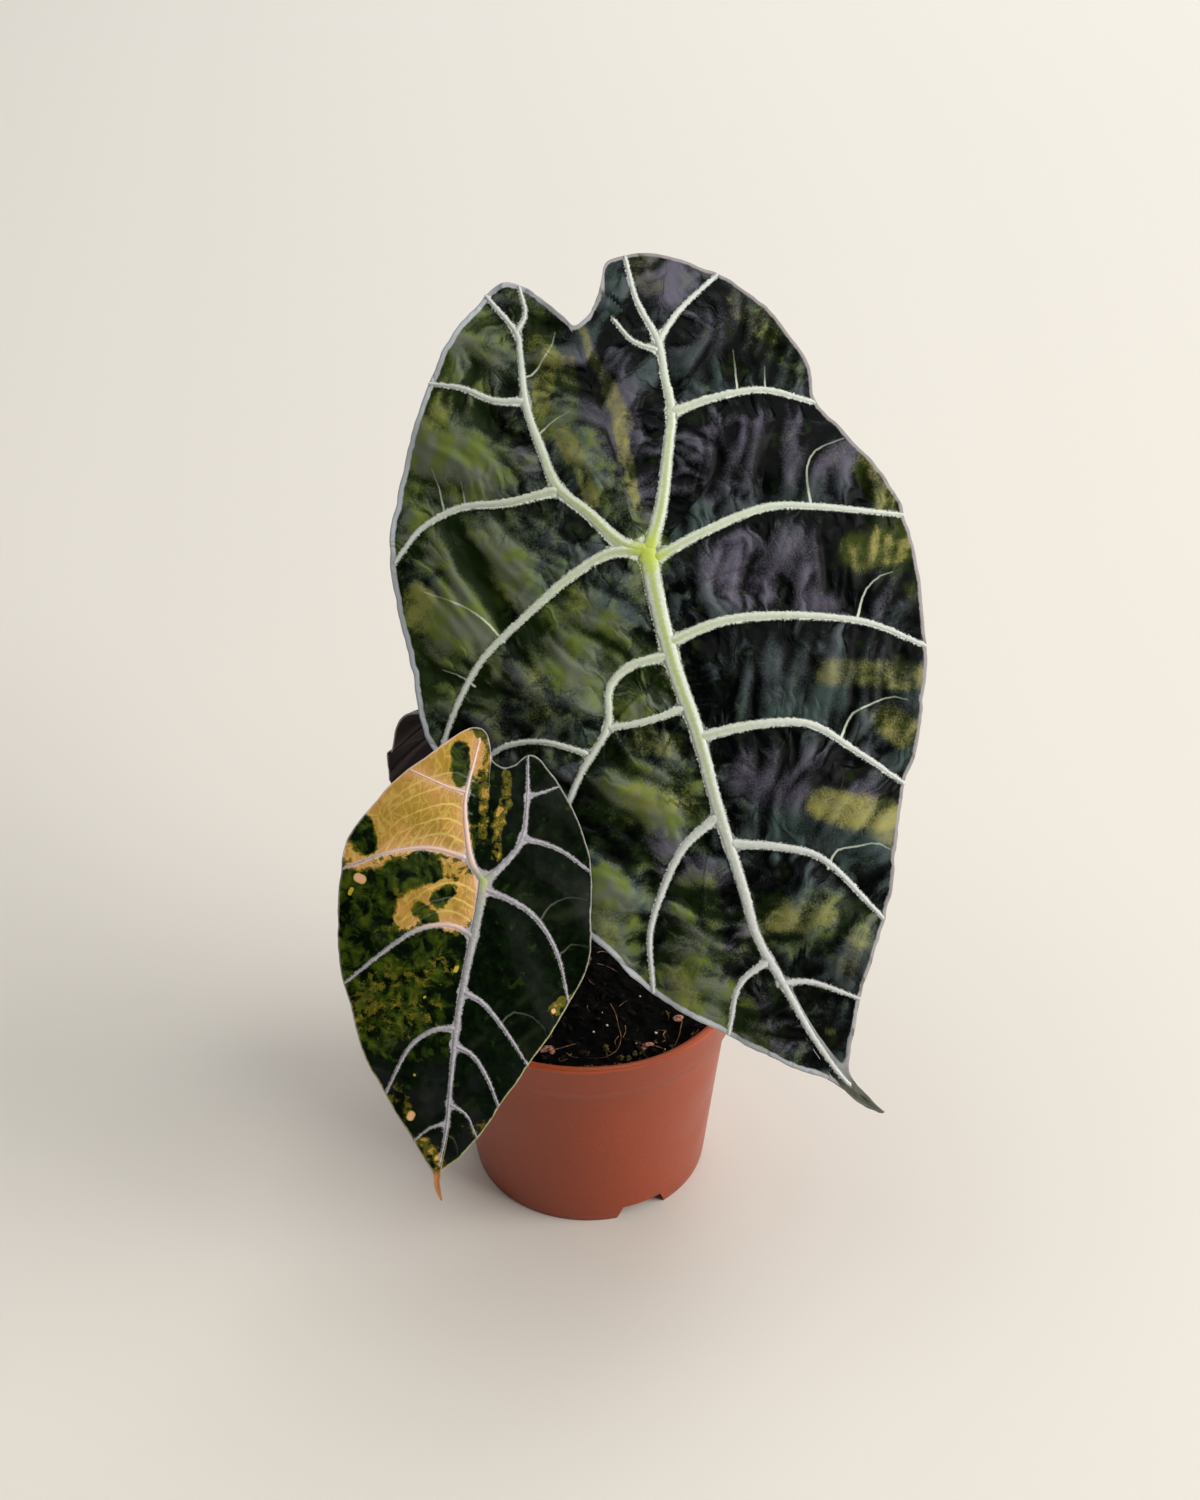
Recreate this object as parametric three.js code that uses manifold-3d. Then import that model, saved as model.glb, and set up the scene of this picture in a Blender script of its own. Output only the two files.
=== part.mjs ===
// A potted alocasia: three arrow-shaped leaves with raised ribs, each on its own stalk,
// standing in a short crown, in potting soil, in a tapered nursery pot with a collar and
// a notched foot. Millimetres, +Z up. The pot's axis is the plant's own axis while it is
// built, and the whole plant is then centred over its footprint.
import * as THREE from 'three';
import { mergeVertices } from 'three/addons/utils/BufferGeometryUtils.js';
import Module from 'manifold-3d';

const wasm = await Module();
wasm.setup();

// Clearance between neighbouring solids
const GAP = 0.3;

// Nursery pot, 12 cm across the rim
const POT_HEIGHT = 92;
const RIM_RADIUS = 60;
const LIP_WIDTH = 3.2;
const LIP_EDGE = 0.6;
const COLLAR_HEIGHT = 17.5;
const COLLAR_FOOT_RADIUS = 56.8;
const WALL_TOP_RADIUS = 54;
const FOOT_RADIUS = 45;
const WALL = 1.5;
const FLOOR_UNDERSIDE = 6.5;
const FLOOR_THICKNESS = 1.8;
const NOTCH_COUNT = 3;
const NOTCH_HEIGHT = 6;
const NOTCH_FOOT_WIDTH = 21.5;
const NOTCH_TOP_WIDTH = 16;
const NOTCH_REACH_IN = 7;
const NOTCH_REACH_OUT = 4;
const NOTCH_FIRST_ANGLE = THREE.MathUtils.degToRad(-64);
const DRAIN_COUNT = 6;
const DRAIN_RADIUS = 4;
const DRAIN_CIRCLE = 33;
const POT_SIDES = 54;

// Potting soil
const SOIL_DROP = 5.5;
const SOIL_LUMP = 1.3;
const SOIL_SIDES = 36;
const SOIL_RINGS = 6;

// Crown, the short stem that the leaf stalks stand in
const CROWN_X = -9;
const CROWN_Y = 7;
const CROWN_RADIUS = 11;
const CROWN_RISE = 11;
const CROWN_ROOT = 14;
const SOCKET_DEPTH = 8;
const CROWN_SIDES = 28;

// Leaves
const BLADE_THICKNESS = 0.9;
const RIB_PROUD = 0.9;
const RIB_SIDES = 4;
const RIB_STEP = 14;
const RIB_SPREAD = 0.9;
const RIB_SINK = 0.1;
const KNUCKLE_LENGTH = 8;
const STALK_SIDES = 10;
const STALK_STEPS = 22;
const QUILT_REACH = 9;

// Finishes
const FINISH = {
  terracotta: { color: '#a4533f', roughness: 0.55, metalness: 0 },
  soil: { color: '#17110d', roughness: 0.95, metalness: 0 },
  crown: { color: '#7d6a4c', roughness: 0.8, metalness: 0 },
  stalk: { color: '#7f9a5c', roughness: 0.5, metalness: 0 },
  darkLeaf: { color: '#2b3a2a', roughness: 0.42, metalness: 0 },
  goldLeaf: { color: '#4d5426', roughness: 0.42, metalness: 0 },
  maroonLeaf: { color: '#37222a', roughness: 0.5, metalness: 0 },
};

// The blades. Every outline and vein is drawn in its leaf's own plane: the stalk meets the
// blade at 0, 0, the lobes lie up +y and the tip down -y. Widths are rib widths at the
// root and at the end. The first vein is the midrib, which runs on into the drip tip.
const LARGE_LEAF = {
  name: 'large_leaf',
  finish: 'darkLeaf',
  hub: new THREE.Vector3(24.3, 0, 273.5),
  tip: new THREE.Vector3(85.4, -95.7, 120),
  facing: new THREE.Vector3(-0.02, -0.85, 0.52),
  stalkWay: new THREE.Vector3(-0.05, 0.42, -0.9),
  stalkRadius: [4.4, 2.8],
  socket: [3.5, 1],
  rings: 9,
  arch: 11.9,
  droop: 0.0021,
  quilt: 2.6,
  ruffle: 1.6,
  ruffles: 9,
  outline: [
    [2, 82], [10, 86], [15, 92], [19, 99], [27, 100], [38, 96], [48, 89], [58, 79], [66, 66],
    [71, 52], [73, 41], [71, 30], [76, 17], [82, 3], [86, -13], [85, -30], [81, -48],
    [77, -64], [70, -78], [62, -94], [54, -104], [46, -119], [38, -136], [29, -149],
    [21, -160], [14, -171], [8, -182], [5, -190], [7.5, -199], [12, -208],
    [5, -202], [1, -195], [-4, -189], [-13, -181], [-25, -169], [-37, -156], [-50, -140],
    [-60, -120], [-73, -96], [-85, -68], [-92, -42], [-93, -27], [-90, -8], [-88, 14],
    [-84, 32], [-76, 47], [-66, 63], [-54, 79], [-41, 93], [-30, 100], [-19, 106], [-13, 104],
    [-6, 96], [-1, 87],
  ],
  veins: [
    { width: [6.6, 1.4], path: [[0, 2], [-3, -16], [-5, -40], [-5, -62], [-7, -88], [-8, -117],
      [-9, -134], [-6, -152], [-3, -171], [1, -187], [5, -198], [10, -205]] },
    { width: [5, 1.2], path: [[0, 0], [-8, 6], [-15, 19], [-22, 31], [-23, 45], [-23, 61],
      [-19, 80], [-18, 87], [-23, 101]] },
    { width: [1.8, 1], path: [[-18, 87], [-13, 92], [-12, 100]] },
    { width: [2.6, 1.2], path: [[-23, 63], [-33, 67], [-42, 75], [-51, 80]] },
    { width: [3.4, 1.3], path: [[-22, 30], [-40, 32], [-56, 36], [-71, 34], [-81, 28]] },
    { width: [5, 1.2], path: [[0, 0], [9, 13], [17, 29], [23, 42], [25, 54], [27, 67], [25, 83],
      [26, 96]] },
    { width: [2.2, 1.2], path: [[27, 67], [38, 75], [53, 82]] },
    { width: [1.8, 1], path: [[26, 64], [19, 70], [15, 80]] },
    { width: [3.2, 1.3], path: [[23, 42], [38, 42], [55, 39], [69, 30]] },
    { width: [3.6, 1.3], path: [[1, -3], [19, 0], [41, 1], [57, -4], [83, -16]] },
    { width: [3.6, 1.3], path: [[-4, -31], [14, -30], [32, -34], [52, -42], [64, -49],
      [76, -60]] },
    { width: [3.4, 1.3], path: [[-5, -64], [13, -66], [31, -72], [43, -86], [54, -101]] },
    { width: [3, 1.2], path: [[-7, -101], [9, -108], [21, -117], [32, -140]] },
    { width: [2.2, 1], path: [[-7, -152], [3, -155], [13, -163]] },
    { width: [3.8, 1.3], path: [[-1, 0], [-12, 4], [-28, 1], [-48, -7], [-65, -15], [-78, -26],
      [-90, -40]] },
    { width: [3.2, 1.2], path: [[-5, -35], [-19, -34], [-28, -39], [-33, -51], [-46, -62],
      [-58, -75], [-74, -91]] },
    { width: [2.4, 1.8], path: [[-6, -53], [-20, -53], [-33, -51]] },
    { width: [1.8, 1], path: [[-42, -57], [-56, -48], [-71, -46], [-86, -54]] },
    { width: [3, 1.2], path: [[-8, -91], [-22, -97], [-34, -109], [-43, -122], [-48, -139]] },
    { width: [2.4, 1.1], path: [[-8, -143], [-20, -148], [-28, -161]] },
  ],
};

const SMALL_LEAF = {
  name: 'small_leaf',
  finish: 'goldLeaf',
  hub: new THREE.Vector3(-33.1, -72, 190),
  tip: new THREE.Vector3(-51.6, -121.7, 104),
  facing: new THREE.Vector3(0.017, -0.867, 0.498),
  stalkWay: new THREE.Vector3(0.12, 0.72, -0.68),
  stalkRadius: [3.2, 2],
  socket: [-4, -3.5],
  rings: 6,
  arch: 4.6,
  droop: 0.0032,
  quilt: 1.5,
  ruffle: 1,
  ruffles: 7,
  outline: [
    [0, 38], [4, 39.5], [8, 43.3], [12, 42.5], [16, 39], [21, 34], [26, 27.5], [31, 19.5],
    [35, 10], [37, -3], [39, -15], [38.5, -26], [35, -36], [30, -48], [24, -60], [18, -73],
    [12.5, -85], [6, -95.5], [2.4, -101], [3, -106], [4.2, -110], [0.6, -107.5], [-1, -101.5],
    [-4.5, -96], [-13, -86], [-21, -76], [-30, -63.5], [-37, -48.5], [-43, -35], [-46.5, -18],
    [-47.8, -3], [-47, 7], [-42, 16.5], [-35, 27.5], [-24, 39], [-15, 47.5], [-10.5, 49.3],
    [-7, 48], [-5, 44], [-4, 40],
  ],
  veins: [
    { width: [4.2, 0.9], path: [[0, 1.5], [0, -11], [-0.7, -28], [-1, -47], [0, -65], [1.3, -84],
      [0.9, -98], [1.2, -105], [3, -108.5]] },
    { width: [3, 1], path: [[0, 0], [-5, 6], [-9, 18], [-10.5, 27], [-9.5, 40]] },
    { width: [1.8, 0.9], path: [[-10.6, 28], [-16.5, 28.6], [-25, 30.7]] },
    { width: [2.3, 1], path: [[-7, 7], [-19, 8], [-32, 4.5], [-45, -2.8]] },
    { width: [3, 1], path: [[0, 0], [4.5, 5], [10.4, 15.5], [10, 29], [8.2, 41]] },
    { width: [1.5, 0.8], path: [[10.1, 29.8], [18, 33.6]] },
    { width: [2, 0.9], path: [[10.6, 16], [17.6, 15.6], [25, 13.7], [32.5, 9.8]] },
    { width: [2.4, 0.9], path: [[0, -2], [13, -5.5], [21.5, -11], [29, -21], [34.5, -35]] },
    { width: [2.2, 0.9], path: [[-0.8, -37], [6, -39.3], [15, -47.3], [24, -57.5]] },
    { width: [2, 0.9], path: [[-0.8, -55], [6, -57.7], [12, -64.5], [17, -73]] },
    { width: [1.5, 0.8], path: [[0.8, -75.5], [7, -78.2], [11.5, -85]] },
    { width: [2.6, 0.9], path: [[-0.3, -18.5], [-8, -15.8], [-19, -19], [-30, -29.5],
      [-40, -41]] },
    { width: [2.2, 0.9], path: [[-1, -49.5], [-8, -51.2], [-15.4, -58.7], [-20.4, -74.5]] },
    { width: [1.5, 0.8], path: [[1.3, -82.5], [-4, -84.8], [-8.8, -90.5]] },
  ],
};

// The leaf at the back turns its dark underside to the front. Its right half mirrors its left.
const BACK_LEAF = {
  name: 'back_leaf',
  finish: 'maroonLeaf',
  hub: new THREE.Vector3(-36, 42, 188),
  tip: new THREE.Vector3(-60, 84, 110),
  facing: new THREE.Vector3(-0.45, 0.75, 0.5),
  stalkWay: new THREE.Vector3(0.35, -0.3, -0.9),
  stalkRadius: [3.2, 2],
  socket: [-3.5, 5],
  rings: 6,
  arch: 4,
  droop: 0.004,
  quilt: 1.3,
  ruffle: 1,
  ruffles: 6,
  outline: mirrored([
    [0, 30], [5, 36], [12, 42], [21, 41.5], [30, 33], [36, 17], [39, 0], [38, -20], [32, -42],
    [23, -62], [12, -80], [4, -92], [1.4, -99], [0, -107],
  ]),
  veins: [
    { width: [4, 0.9], path: [[0, 1.5], [0, -40], [0, -80], [0, -104]] },
    ...[-1, 1].flatMap((side) => [
      { width: [2.8, 0.9], path: [[0, 0], [side * 7, 8], [side * 11, 22], [side * 13, 38]] },
      { width: [1.8, 0.9], path: [[side * 11, 22], [side * 20, 24], [side * 31, 28]] },
      { width: [2.3, 0.9], path: [[0, -2], [side * 14, -1], [side * 27, -7], [side * 37, -18]] },
      { width: [2, 0.9], path: [[0, -26], [side * 12, -28], [side * 22, -38], [side * 28, -48]] },
      { width: [1.7, 0.8], path: [[0, -50], [side * 9, -53], [side * 18, -68]] },
    ]),
  ],
};

/** A half outline from the lobes' meeting point to the tip, with its mirror image added. */
function mirrored(half) {
  const other = half.slice(1, -1).reverse().map(([x, y]) => [-x, y]);
  return [...half, ...other];
}

/** A closed triangle mesh as a solid that can be joined and cut. */
function solidOf(geometry) {
  const bare = geometry.clone();
  for (const name of Object.keys(bare.attributes)) {
    if (name !== 'position') bare.deleteAttribute(name);
  }
  const merged = mergeVertices(bare, 1e-4);
  return new wasm.Manifold(new wasm.Mesh({
    numProp: 3,
    vertProperties: Float32Array.from(merged.attributes.position.array),
    triVerts: Uint32Array.from(merged.index.array),
  }));
}

/** A solid back as a flat-shaded geometry. */
function geometryOf(solid) {
  const mesh = solid.getMesh();
  const geometry = new THREE.BufferGeometry();
  geometry.setAttribute('position', new THREE.BufferAttribute(mesh.vertProperties, 3));
  geometry.setIndex(new THREE.BufferAttribute(mesh.triVerts, 1));
  const flat = geometry.toNonIndexed();
  flat.computeVertexNormals();
  return flat;
}

/** A named mesh in one of the finishes. */
function meshOf(name, geometry, finish) {
  const mesh = new THREE.Mesh(geometry, new THREE.MeshStandardMaterial(FINISH[finish]));
  mesh.name = name;
  return mesh;
}

/** A body turned about +Z from [radius, height] points. */
function turned(points, sides) {
  const profile = points.map(([radius, height]) => new THREE.Vector2(radius, height));
  return new THREE.LatheGeometry(profile, sides).rotateX(Math.PI / 2);
}

/**
 * A cylinder bent along a curve. The side and rise of its section are given in the plane
 * across the curve, and reach(u) gives how far the section goes each way at u from 0 to 1.
 */
function bentTube(curve, sides, steps, up, reach) {
  const tube = new THREE.CylinderGeometry(1, 1, 1, sides, steps);
  const place = tube.attributes.position;
  const point = new THREE.Vector3();
  for (let i = 0; i < place.count; i += 1) {
    const u = THREE.MathUtils.clamp(place.getY(i) + 0.5, 0, 1);
    const tangent = curve.getTangentAt(u);
    const side = new THREE.Vector3().crossVectors(tangent, up).normalize();
    const rise = new THREE.Vector3().crossVectors(side, tangent);
    const { across, deep } = reach(u);
    curve.getPointAt(u, point);
    point.addScaledVector(side, place.getX(i) * across);
    point.addScaledVector(rise, place.getZ(i) * deep);
    place.setXYZ(i, point.x, point.y, point.z);
  }
  return tube;
}

/** The pot's inner wall, [radius, height] from the floor to the lip. */
const innerWall = [
  [FOOT_RADIUS - WALL + 0.6, FLOOR_UNDERSIDE + FLOOR_THICKNESS],
  [WALL_TOP_RADIUS - WALL, POT_HEIGHT - COLLAR_HEIGHT - 1],
  [COLLAR_FOOT_RADIUS - WALL, POT_HEIGHT - COLLAR_HEIGHT + 1.5],
  [RIM_RADIUS - LIP_WIDTH - 0.5, POT_HEIGHT - LIP_EDGE],
];

/** The pot: a tapered wall under a wider collar, on a foot ring cut by notches. */
function potGeometry() {
  const collarFoot = POT_HEIGHT - COLLAR_HEIGHT;
  const body = turned([
    [0, FLOOR_UNDERSIDE],
    [FOOT_RADIUS - WALL + 0.4, FLOOR_UNDERSIDE],
    [FOOT_RADIUS - WALL, 0],
    [FOOT_RADIUS, 0],
    [WALL_TOP_RADIUS, collarFoot],
    [COLLAR_FOOT_RADIUS, collarFoot + 0.8],
    [RIM_RADIUS - 0.3, POT_HEIGHT - 2 * LIP_EDGE],
    [RIM_RADIUS, POT_HEIGHT - LIP_EDGE],
    [RIM_RADIUS - 0.4, POT_HEIGHT],
    [RIM_RADIUS - LIP_WIDTH, POT_HEIGHT],
    ...innerWall.toReversed(),
    [0, FLOOR_UNDERSIDE + FLOOR_THICKNESS],
  ], POT_SIDES);
  let pot = solidOf(body);

  const notchSection = new THREE.Shape([
    new THREE.Vector2(-NOTCH_FOOT_WIDTH / 2, -1),
    new THREE.Vector2(NOTCH_FOOT_WIDTH / 2, -1),
    new THREE.Vector2(NOTCH_TOP_WIDTH / 2, NOTCH_HEIGHT),
    new THREE.Vector2(-NOTCH_TOP_WIDTH / 2, NOTCH_HEIGHT),
  ]);
  const depth = NOTCH_REACH_IN + NOTCH_REACH_OUT;
  const notch = new THREE.ExtrudeGeometry(notchSection, { depth, bevelEnabled: false });
  notch.rotateX(Math.PI / 2).translate(0, FOOT_RADIUS + NOTCH_REACH_OUT, 0);
  for (let i = 0; i < NOTCH_COUNT; i += 1) {
    const angle = NOTCH_FIRST_ANGLE - Math.PI / 2 + (i * 2 * Math.PI) / NOTCH_COUNT;
    pot = pot.subtract(solidOf(notch.clone().rotateZ(angle)));
  }

  const drain = new THREE.CylinderGeometry(DRAIN_RADIUS, DRAIN_RADIUS, 4 * FLOOR_THICKNESS, 16);
  drain.rotateX(Math.PI / 2).translate(0, 0, FLOOR_UNDERSIDE + FLOOR_THICKNESS / 2);
  pot = pot.subtract(solidOf(drain));
  drain.translate(DRAIN_CIRCLE, 0, 0);
  for (let i = 0; i < DRAIN_COUNT; i += 1) {
    pot = pot.subtract(solidOf(drain.clone().rotateZ((i * 2 * Math.PI) / DRAIN_COUNT)));
  }
  return geometryOf(pot);
}

/** How far the soil's surface stands above its level at a place. */
function soilLump(x, y) {
  return SOIL_LUMP * (0.5 * Math.sin(0.19 * x + 1.1) * Math.cos(0.23 * y)
    + 0.3 * Math.sin(0.41 * x - 0.37 * y + 0.6)
    + 0.2 * Math.cos(0.67 * x + 0.59 * y));
}

/** The filling of soil, lumpy on top, with a hole for the crown. */
function soilGeometry() {
  const level = POT_HEIGHT - SOIL_DROP;
  const [floor, wallTop, step, lip] = innerWall;
  const edge = step[0] + ((lip[0] - step[0]) * (level - step[1])) / (lip[1] - step[1]);
  const surface = [];
  for (let ring = SOIL_RINGS; ring > 0; ring -= 1) {
    surface.push([((edge - 1.5) * ring) / SOIL_RINGS, level]);
  }
  const body = turned([
    [0, floor[1] + GAP],
    [floor[0] - GAP, floor[1] + GAP],
    [wallTop[0] - GAP, wallTop[1]],
    [step[0] - 2 * GAP, step[1] + GAP],
    [edge - GAP, level - 1.5],
    ...surface,
    [0, level],
  ], SOIL_SIDES);
  const place = body.attributes.position;
  for (let i = 0; i < place.count; i += 1) {
    if (place.getZ(i) > level - 0.1) {
      place.setZ(i, level + soilLump(place.getX(i), place.getY(i)));
    }
  }
  const hole = new THREE.CylinderGeometry(
    CROWN_RADIUS + GAP, CROWN_RADIUS + GAP, CROWN_ROOT + 12, CROWN_SIDES,
  );
  hole.rotateX(Math.PI / 2).translate(CROWN_X, CROWN_Y, level + 6 - CROWN_ROOT / 2 - GAP);
  return geometryOf(solidOf(body).subtract(solidOf(hole)));
}

/** A stalk's line: straight up out of the crown, then over to the knuckle under the blade. */
function stalkCurve(leaf) {
  const foot = new THREE.Vector3(
    CROWN_X + leaf.socket[0],
    CROWN_Y + leaf.socket[1],
    POT_HEIGHT - SOIL_DROP + CROWN_RISE - SOCKET_DEPTH,
  );
  const way = leaf.stalkWay.clone().normalize();
  const head = leaf.hub.clone().addScaledVector(way, KNUCKLE_LENGTH + GAP);
  const length = head.distanceTo(foot);
  return new THREE.CubicBezierCurve3(
    foot,
    foot.clone().add(new THREE.Vector3(0, 0, length * 0.42)),
    head.clone().addScaledVector(way, length * 0.33),
    head,
  );
}

/** A round stalk, stoutest at its foot. */
function stalkGeometry(leaf) {
  const [foot, head] = leaf.stalkRadius;
  return bentTube(stalkCurve(leaf), STALK_SIDES, STALK_STEPS, new THREE.Vector3(0, 1, 0), (u) => {
    const radius = head + (foot - head) * (1 - u) ** 1.4;
    return { across: radius, deep: radius };
  });
}

/** The crown: a short stem, rooted in the soil, with a socket for each stalk. */
function crownGeometry(leaves) {
  const level = POT_HEIGHT - SOIL_DROP;
  const body = turned([
    [0, -CROWN_ROOT],
    [CROWN_RADIUS * 0.7, -CROWN_ROOT],
    [CROWN_RADIUS, -CROWN_ROOT * 0.5],
    [CROWN_RADIUS, CROWN_RISE * 0.35],
    [CROWN_RADIUS * 0.94, CROWN_RISE * 0.75],
    [CROWN_RADIUS * 0.78, CROWN_RISE],
    [0, CROWN_RISE],
  ], CROWN_SIDES).translate(CROWN_X, CROWN_Y, level);
  let crown = solidOf(body);
  for (const leaf of leaves) {
    const { x, y, z } = stalkCurve(leaf).getPointAt(0);
    const radius = leaf.stalkRadius[0] + GAP;
    const socket = new THREE.CylinderGeometry(radius, radius, 2 * SOCKET_DEPTH, 2 * STALK_SIDES);
    socket.rotateX(Math.PI / 2).translate(x, y, z - GAP + SOCKET_DEPTH);
    crown = crown.subtract(solidOf(socket));
  }
  return geometryOf(crown);
}

/** Evenly spaced points along the smooth line through the given ones. */
function smoothLine(points, step) {
  const curve = new THREE.CatmullRomCurve3(points.map(([x, y]) => new THREE.Vector3(x, y, 0)));
  return curve.getSpacedPoints(Math.max(3, Math.round(curve.getLength() / step)));
}

/** How far a place in the leaf's plane is from a line of points. */
function distanceToLine(x, y, line) {
  let nearest = Infinity;
  for (let i = 1; i < line.length; i += 1) {
    const dx = line[i].x - line[i - 1].x;
    const dy = line[i].y - line[i - 1].y;
    const along = ((x - line[i - 1].x) * dx + (y - line[i - 1].y) * dy) / (dx * dx + dy * dy);
    const t = THREE.MathUtils.clamp(along, 0, 1);
    nearest = Math.min(nearest, Math.hypot(
      x - line[i - 1].x - t * dx,
      y - line[i - 1].y - t * dy,
    ));
  }
  return nearest;
}

/**
 * The blade's form: an arch from hub to tip, sides that fall away, panels that quilt up
 * between the veins, and a margin that waves.
 */
function bladeForm(leaf) {
  const length = leaf.hub.distanceTo(leaf.tip);
  const lines = leaf.veins.map((vein) => smoothLine(vein.path, 4));
  const midrib = lines[0];
  const midribAt = (y) => {
    if (y >= midrib[0].y) return 0;
    const next = midrib.findIndex((point) => point.y <= y);
    if (next < 1) return midrib.at(-1).x;
    const [a, b] = [midrib[next - 1], midrib[next]];
    return a.x + ((b.x - a.x) * (y - a.y)) / (b.y - a.y);
  };
  const height = (x, y, out) => {
    const nearest = Math.min(...lines.map((line) => distanceToLine(x, y, line)));
    const angle = Math.atan2(x, y);
    return (-4 * leaf.arch * y * (y + length)) / length ** 2
      - leaf.droop * x * x
      + leaf.quilt * (1 - Math.exp(-((nearest / QUILT_REACH) ** 2)))
      + leaf.ruffle * Math.sin(leaf.ruffles * angle) * out ** 4;
  };
  return { midribAt, height };
}

/**
 * The thin blade: rings from the hub out to the margin, the same on both faces. The rings
 * follow the bend of the midrib, so the drip tip is part of the same sheet.
 */
function sheetGeometry(leaf, form) {
  const margin = leaf.outline.map(([x, y]) => new THREE.Vector2(x, y));
  const around = margin.length;
  const faces = [1, -1].map((side) => {
    const points = [new THREE.Vector3(0, 0, (side * BLADE_THICKNESS) / 2 + form.height(0, 0, 0))];
    for (let ring = 1; ring <= leaf.rings; ring += 1) {
      const out = (ring / leaf.rings) ** 0.85;
      for (const edge of margin) {
        const y = edge.y * out;
        const x = (edge.x - form.midribAt(edge.y)) * out + form.midribAt(y);
        points.push(new THREE.Vector3(x, y, form.height(x, y, out) + (side * BLADE_THICKNESS) / 2));
      }
    }
    return points;
  });
  const perFace = faces[0].length;
  const at = (ring, step) => (ring === 0 ? 0 : 1 + (ring - 1) * around + (step % around));
  const index = [];
  for (let step = 0; step < around; step += 1) {
    for (let ring = 0; ring < leaf.rings; ring += 1) {
      const [a, b] = [at(ring, step), at(ring, step + 1)];
      const [c, d] = [at(ring + 1, step), at(ring + 1, step + 1)];
      const pieces = ring === 0 ? [[a, d, c]] : [[a, d, c], [a, b, d]];
      for (const [p, q, r] of pieces) {
        index.push(p, q, r);
        index.push(perFace + p, perFace + r, perFace + q);
      }
    }
    const [e, f] = [at(leaf.rings, step), at(leaf.rings, step + 1)];
    index.push(e, f, perFace + f, e, perFace + f, perFace + e);
  }
  const geometry = new THREE.BufferGeometry().setFromPoints([...faces[0], ...faces[1]]);
  geometry.setIndex(index);
  return geometry;
}

/** Finds how high the middle of the sheet lies at a place. */
function sheetProbe(sheet, form) {
  const mesh = new THREE.Mesh(sheet);
  const ray = new THREE.Raycaster();
  const down = new THREE.Vector3(0, 0, -1);
  return (x, y) => {
    ray.set(new THREE.Vector3(x, y, 100), down);
    const hit = ray.intersectObject(mesh)[0];
    return hit ? hit.point.z - BLADE_THICKNESS / 2 : form.height(x, y, 1);
  };
}

/** A rib along one vein: a slim diamond half sunk in the blade, proud of both its faces. */
function ribGeometry(vein, sheetAt) {
  const line = smoothLine(vein.path, RIB_STEP);
  const points = line.map(({ x, y }) => new THREE.Vector3(x, y, sheetAt(x, y) - RIB_SINK));
  const [root, end] = vein.width;
  const deep = BLADE_THICKNESS / 2 + RIB_PROUD + RIB_SINK;
  return bentTube(
    new THREE.CatmullRomCurve3(points),
    RIB_SIDES,
    line.length - 1,
    new THREE.Vector3(0, 0, 1),
    (u) => ({ across: RIB_SPREAD * (root + (end - root) * u ** 0.8), deep }),
  );
}

/** The knuckle under the hub, where the stalk carries the blade. */
function knuckleGeometry(leaf, toLeaf) {
  const way = leaf.stalkWay.clone().normalize().applyQuaternion(toLeaf);
  const radius = leaf.stalkRadius[1];
  const curve = new THREE.LineCurve3(way.clone().multiplyScalar(-0.4),
    way.clone().multiplyScalar(KNUCKLE_LENGTH));
  const up = new THREE.Vector3(1, 0, 0);
  return bentTube(curve, STALK_SIDES, 2, up, () => ({ across: radius, deep: radius }));
}

/** One blade with its ribs and knuckle, stood in its place. */
function leafGroup(leaf) {
  const along = leaf.hub.clone().sub(leaf.tip).normalize();
  const normal = leaf.facing.clone().addScaledVector(along, -leaf.facing.dot(along)).normalize();
  const across = new THREE.Vector3().crossVectors(along, normal);
  const group = new THREE.Group();
  group.position.copy(leaf.hub);
  group.quaternion.setFromRotationMatrix(new THREE.Matrix4().makeBasis(across, along, normal));

  const form = bladeForm(leaf);
  const sheet = sheetGeometry(leaf, form);
  const sheetAt = sheetProbe(sheet, form);
  let blade = solidOf(sheet);
  for (const vein of leaf.veins) blade = blade.add(solidOf(ribGeometry(vein, sheetAt)));
  blade = blade.add(solidOf(knuckleGeometry(leaf, group.quaternion.clone().invert())));
  group.add(meshOf(`${leaf.name}_blade`, geometryOf(blade), leaf.finish));
  return group;
}

const leaves = [LARGE_LEAF, SMALL_LEAF, BACK_LEAF];
const plant = new THREE.Group();
plant.add(meshOf('pot', potGeometry(), 'terracotta'));
plant.add(meshOf('soil', soilGeometry(), 'soil'));
plant.add(meshOf('crown', crownGeometry(leaves), 'crown'));
for (const leaf of leaves) {
  plant.add(meshOf(`${leaf.name}_stalk`, stalkGeometry(leaf), 'stalk'));
  plant.add(leafGroup(leaf));
}

// The origin is the middle of the plant's footprint, on the surface that the pot stands on
const bounds = new THREE.Box3().setFromObject(plant, true);
const middle = bounds.getCenter(new THREE.Vector3());
plant.position.set(-middle.x, -middle.y, -bounds.min.z);

export default plant;
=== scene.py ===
import math

import bpy
import numpy as np
from mathutils import Matrix, Vector, noise
from mathutils.kdtree import KDTree


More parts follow.
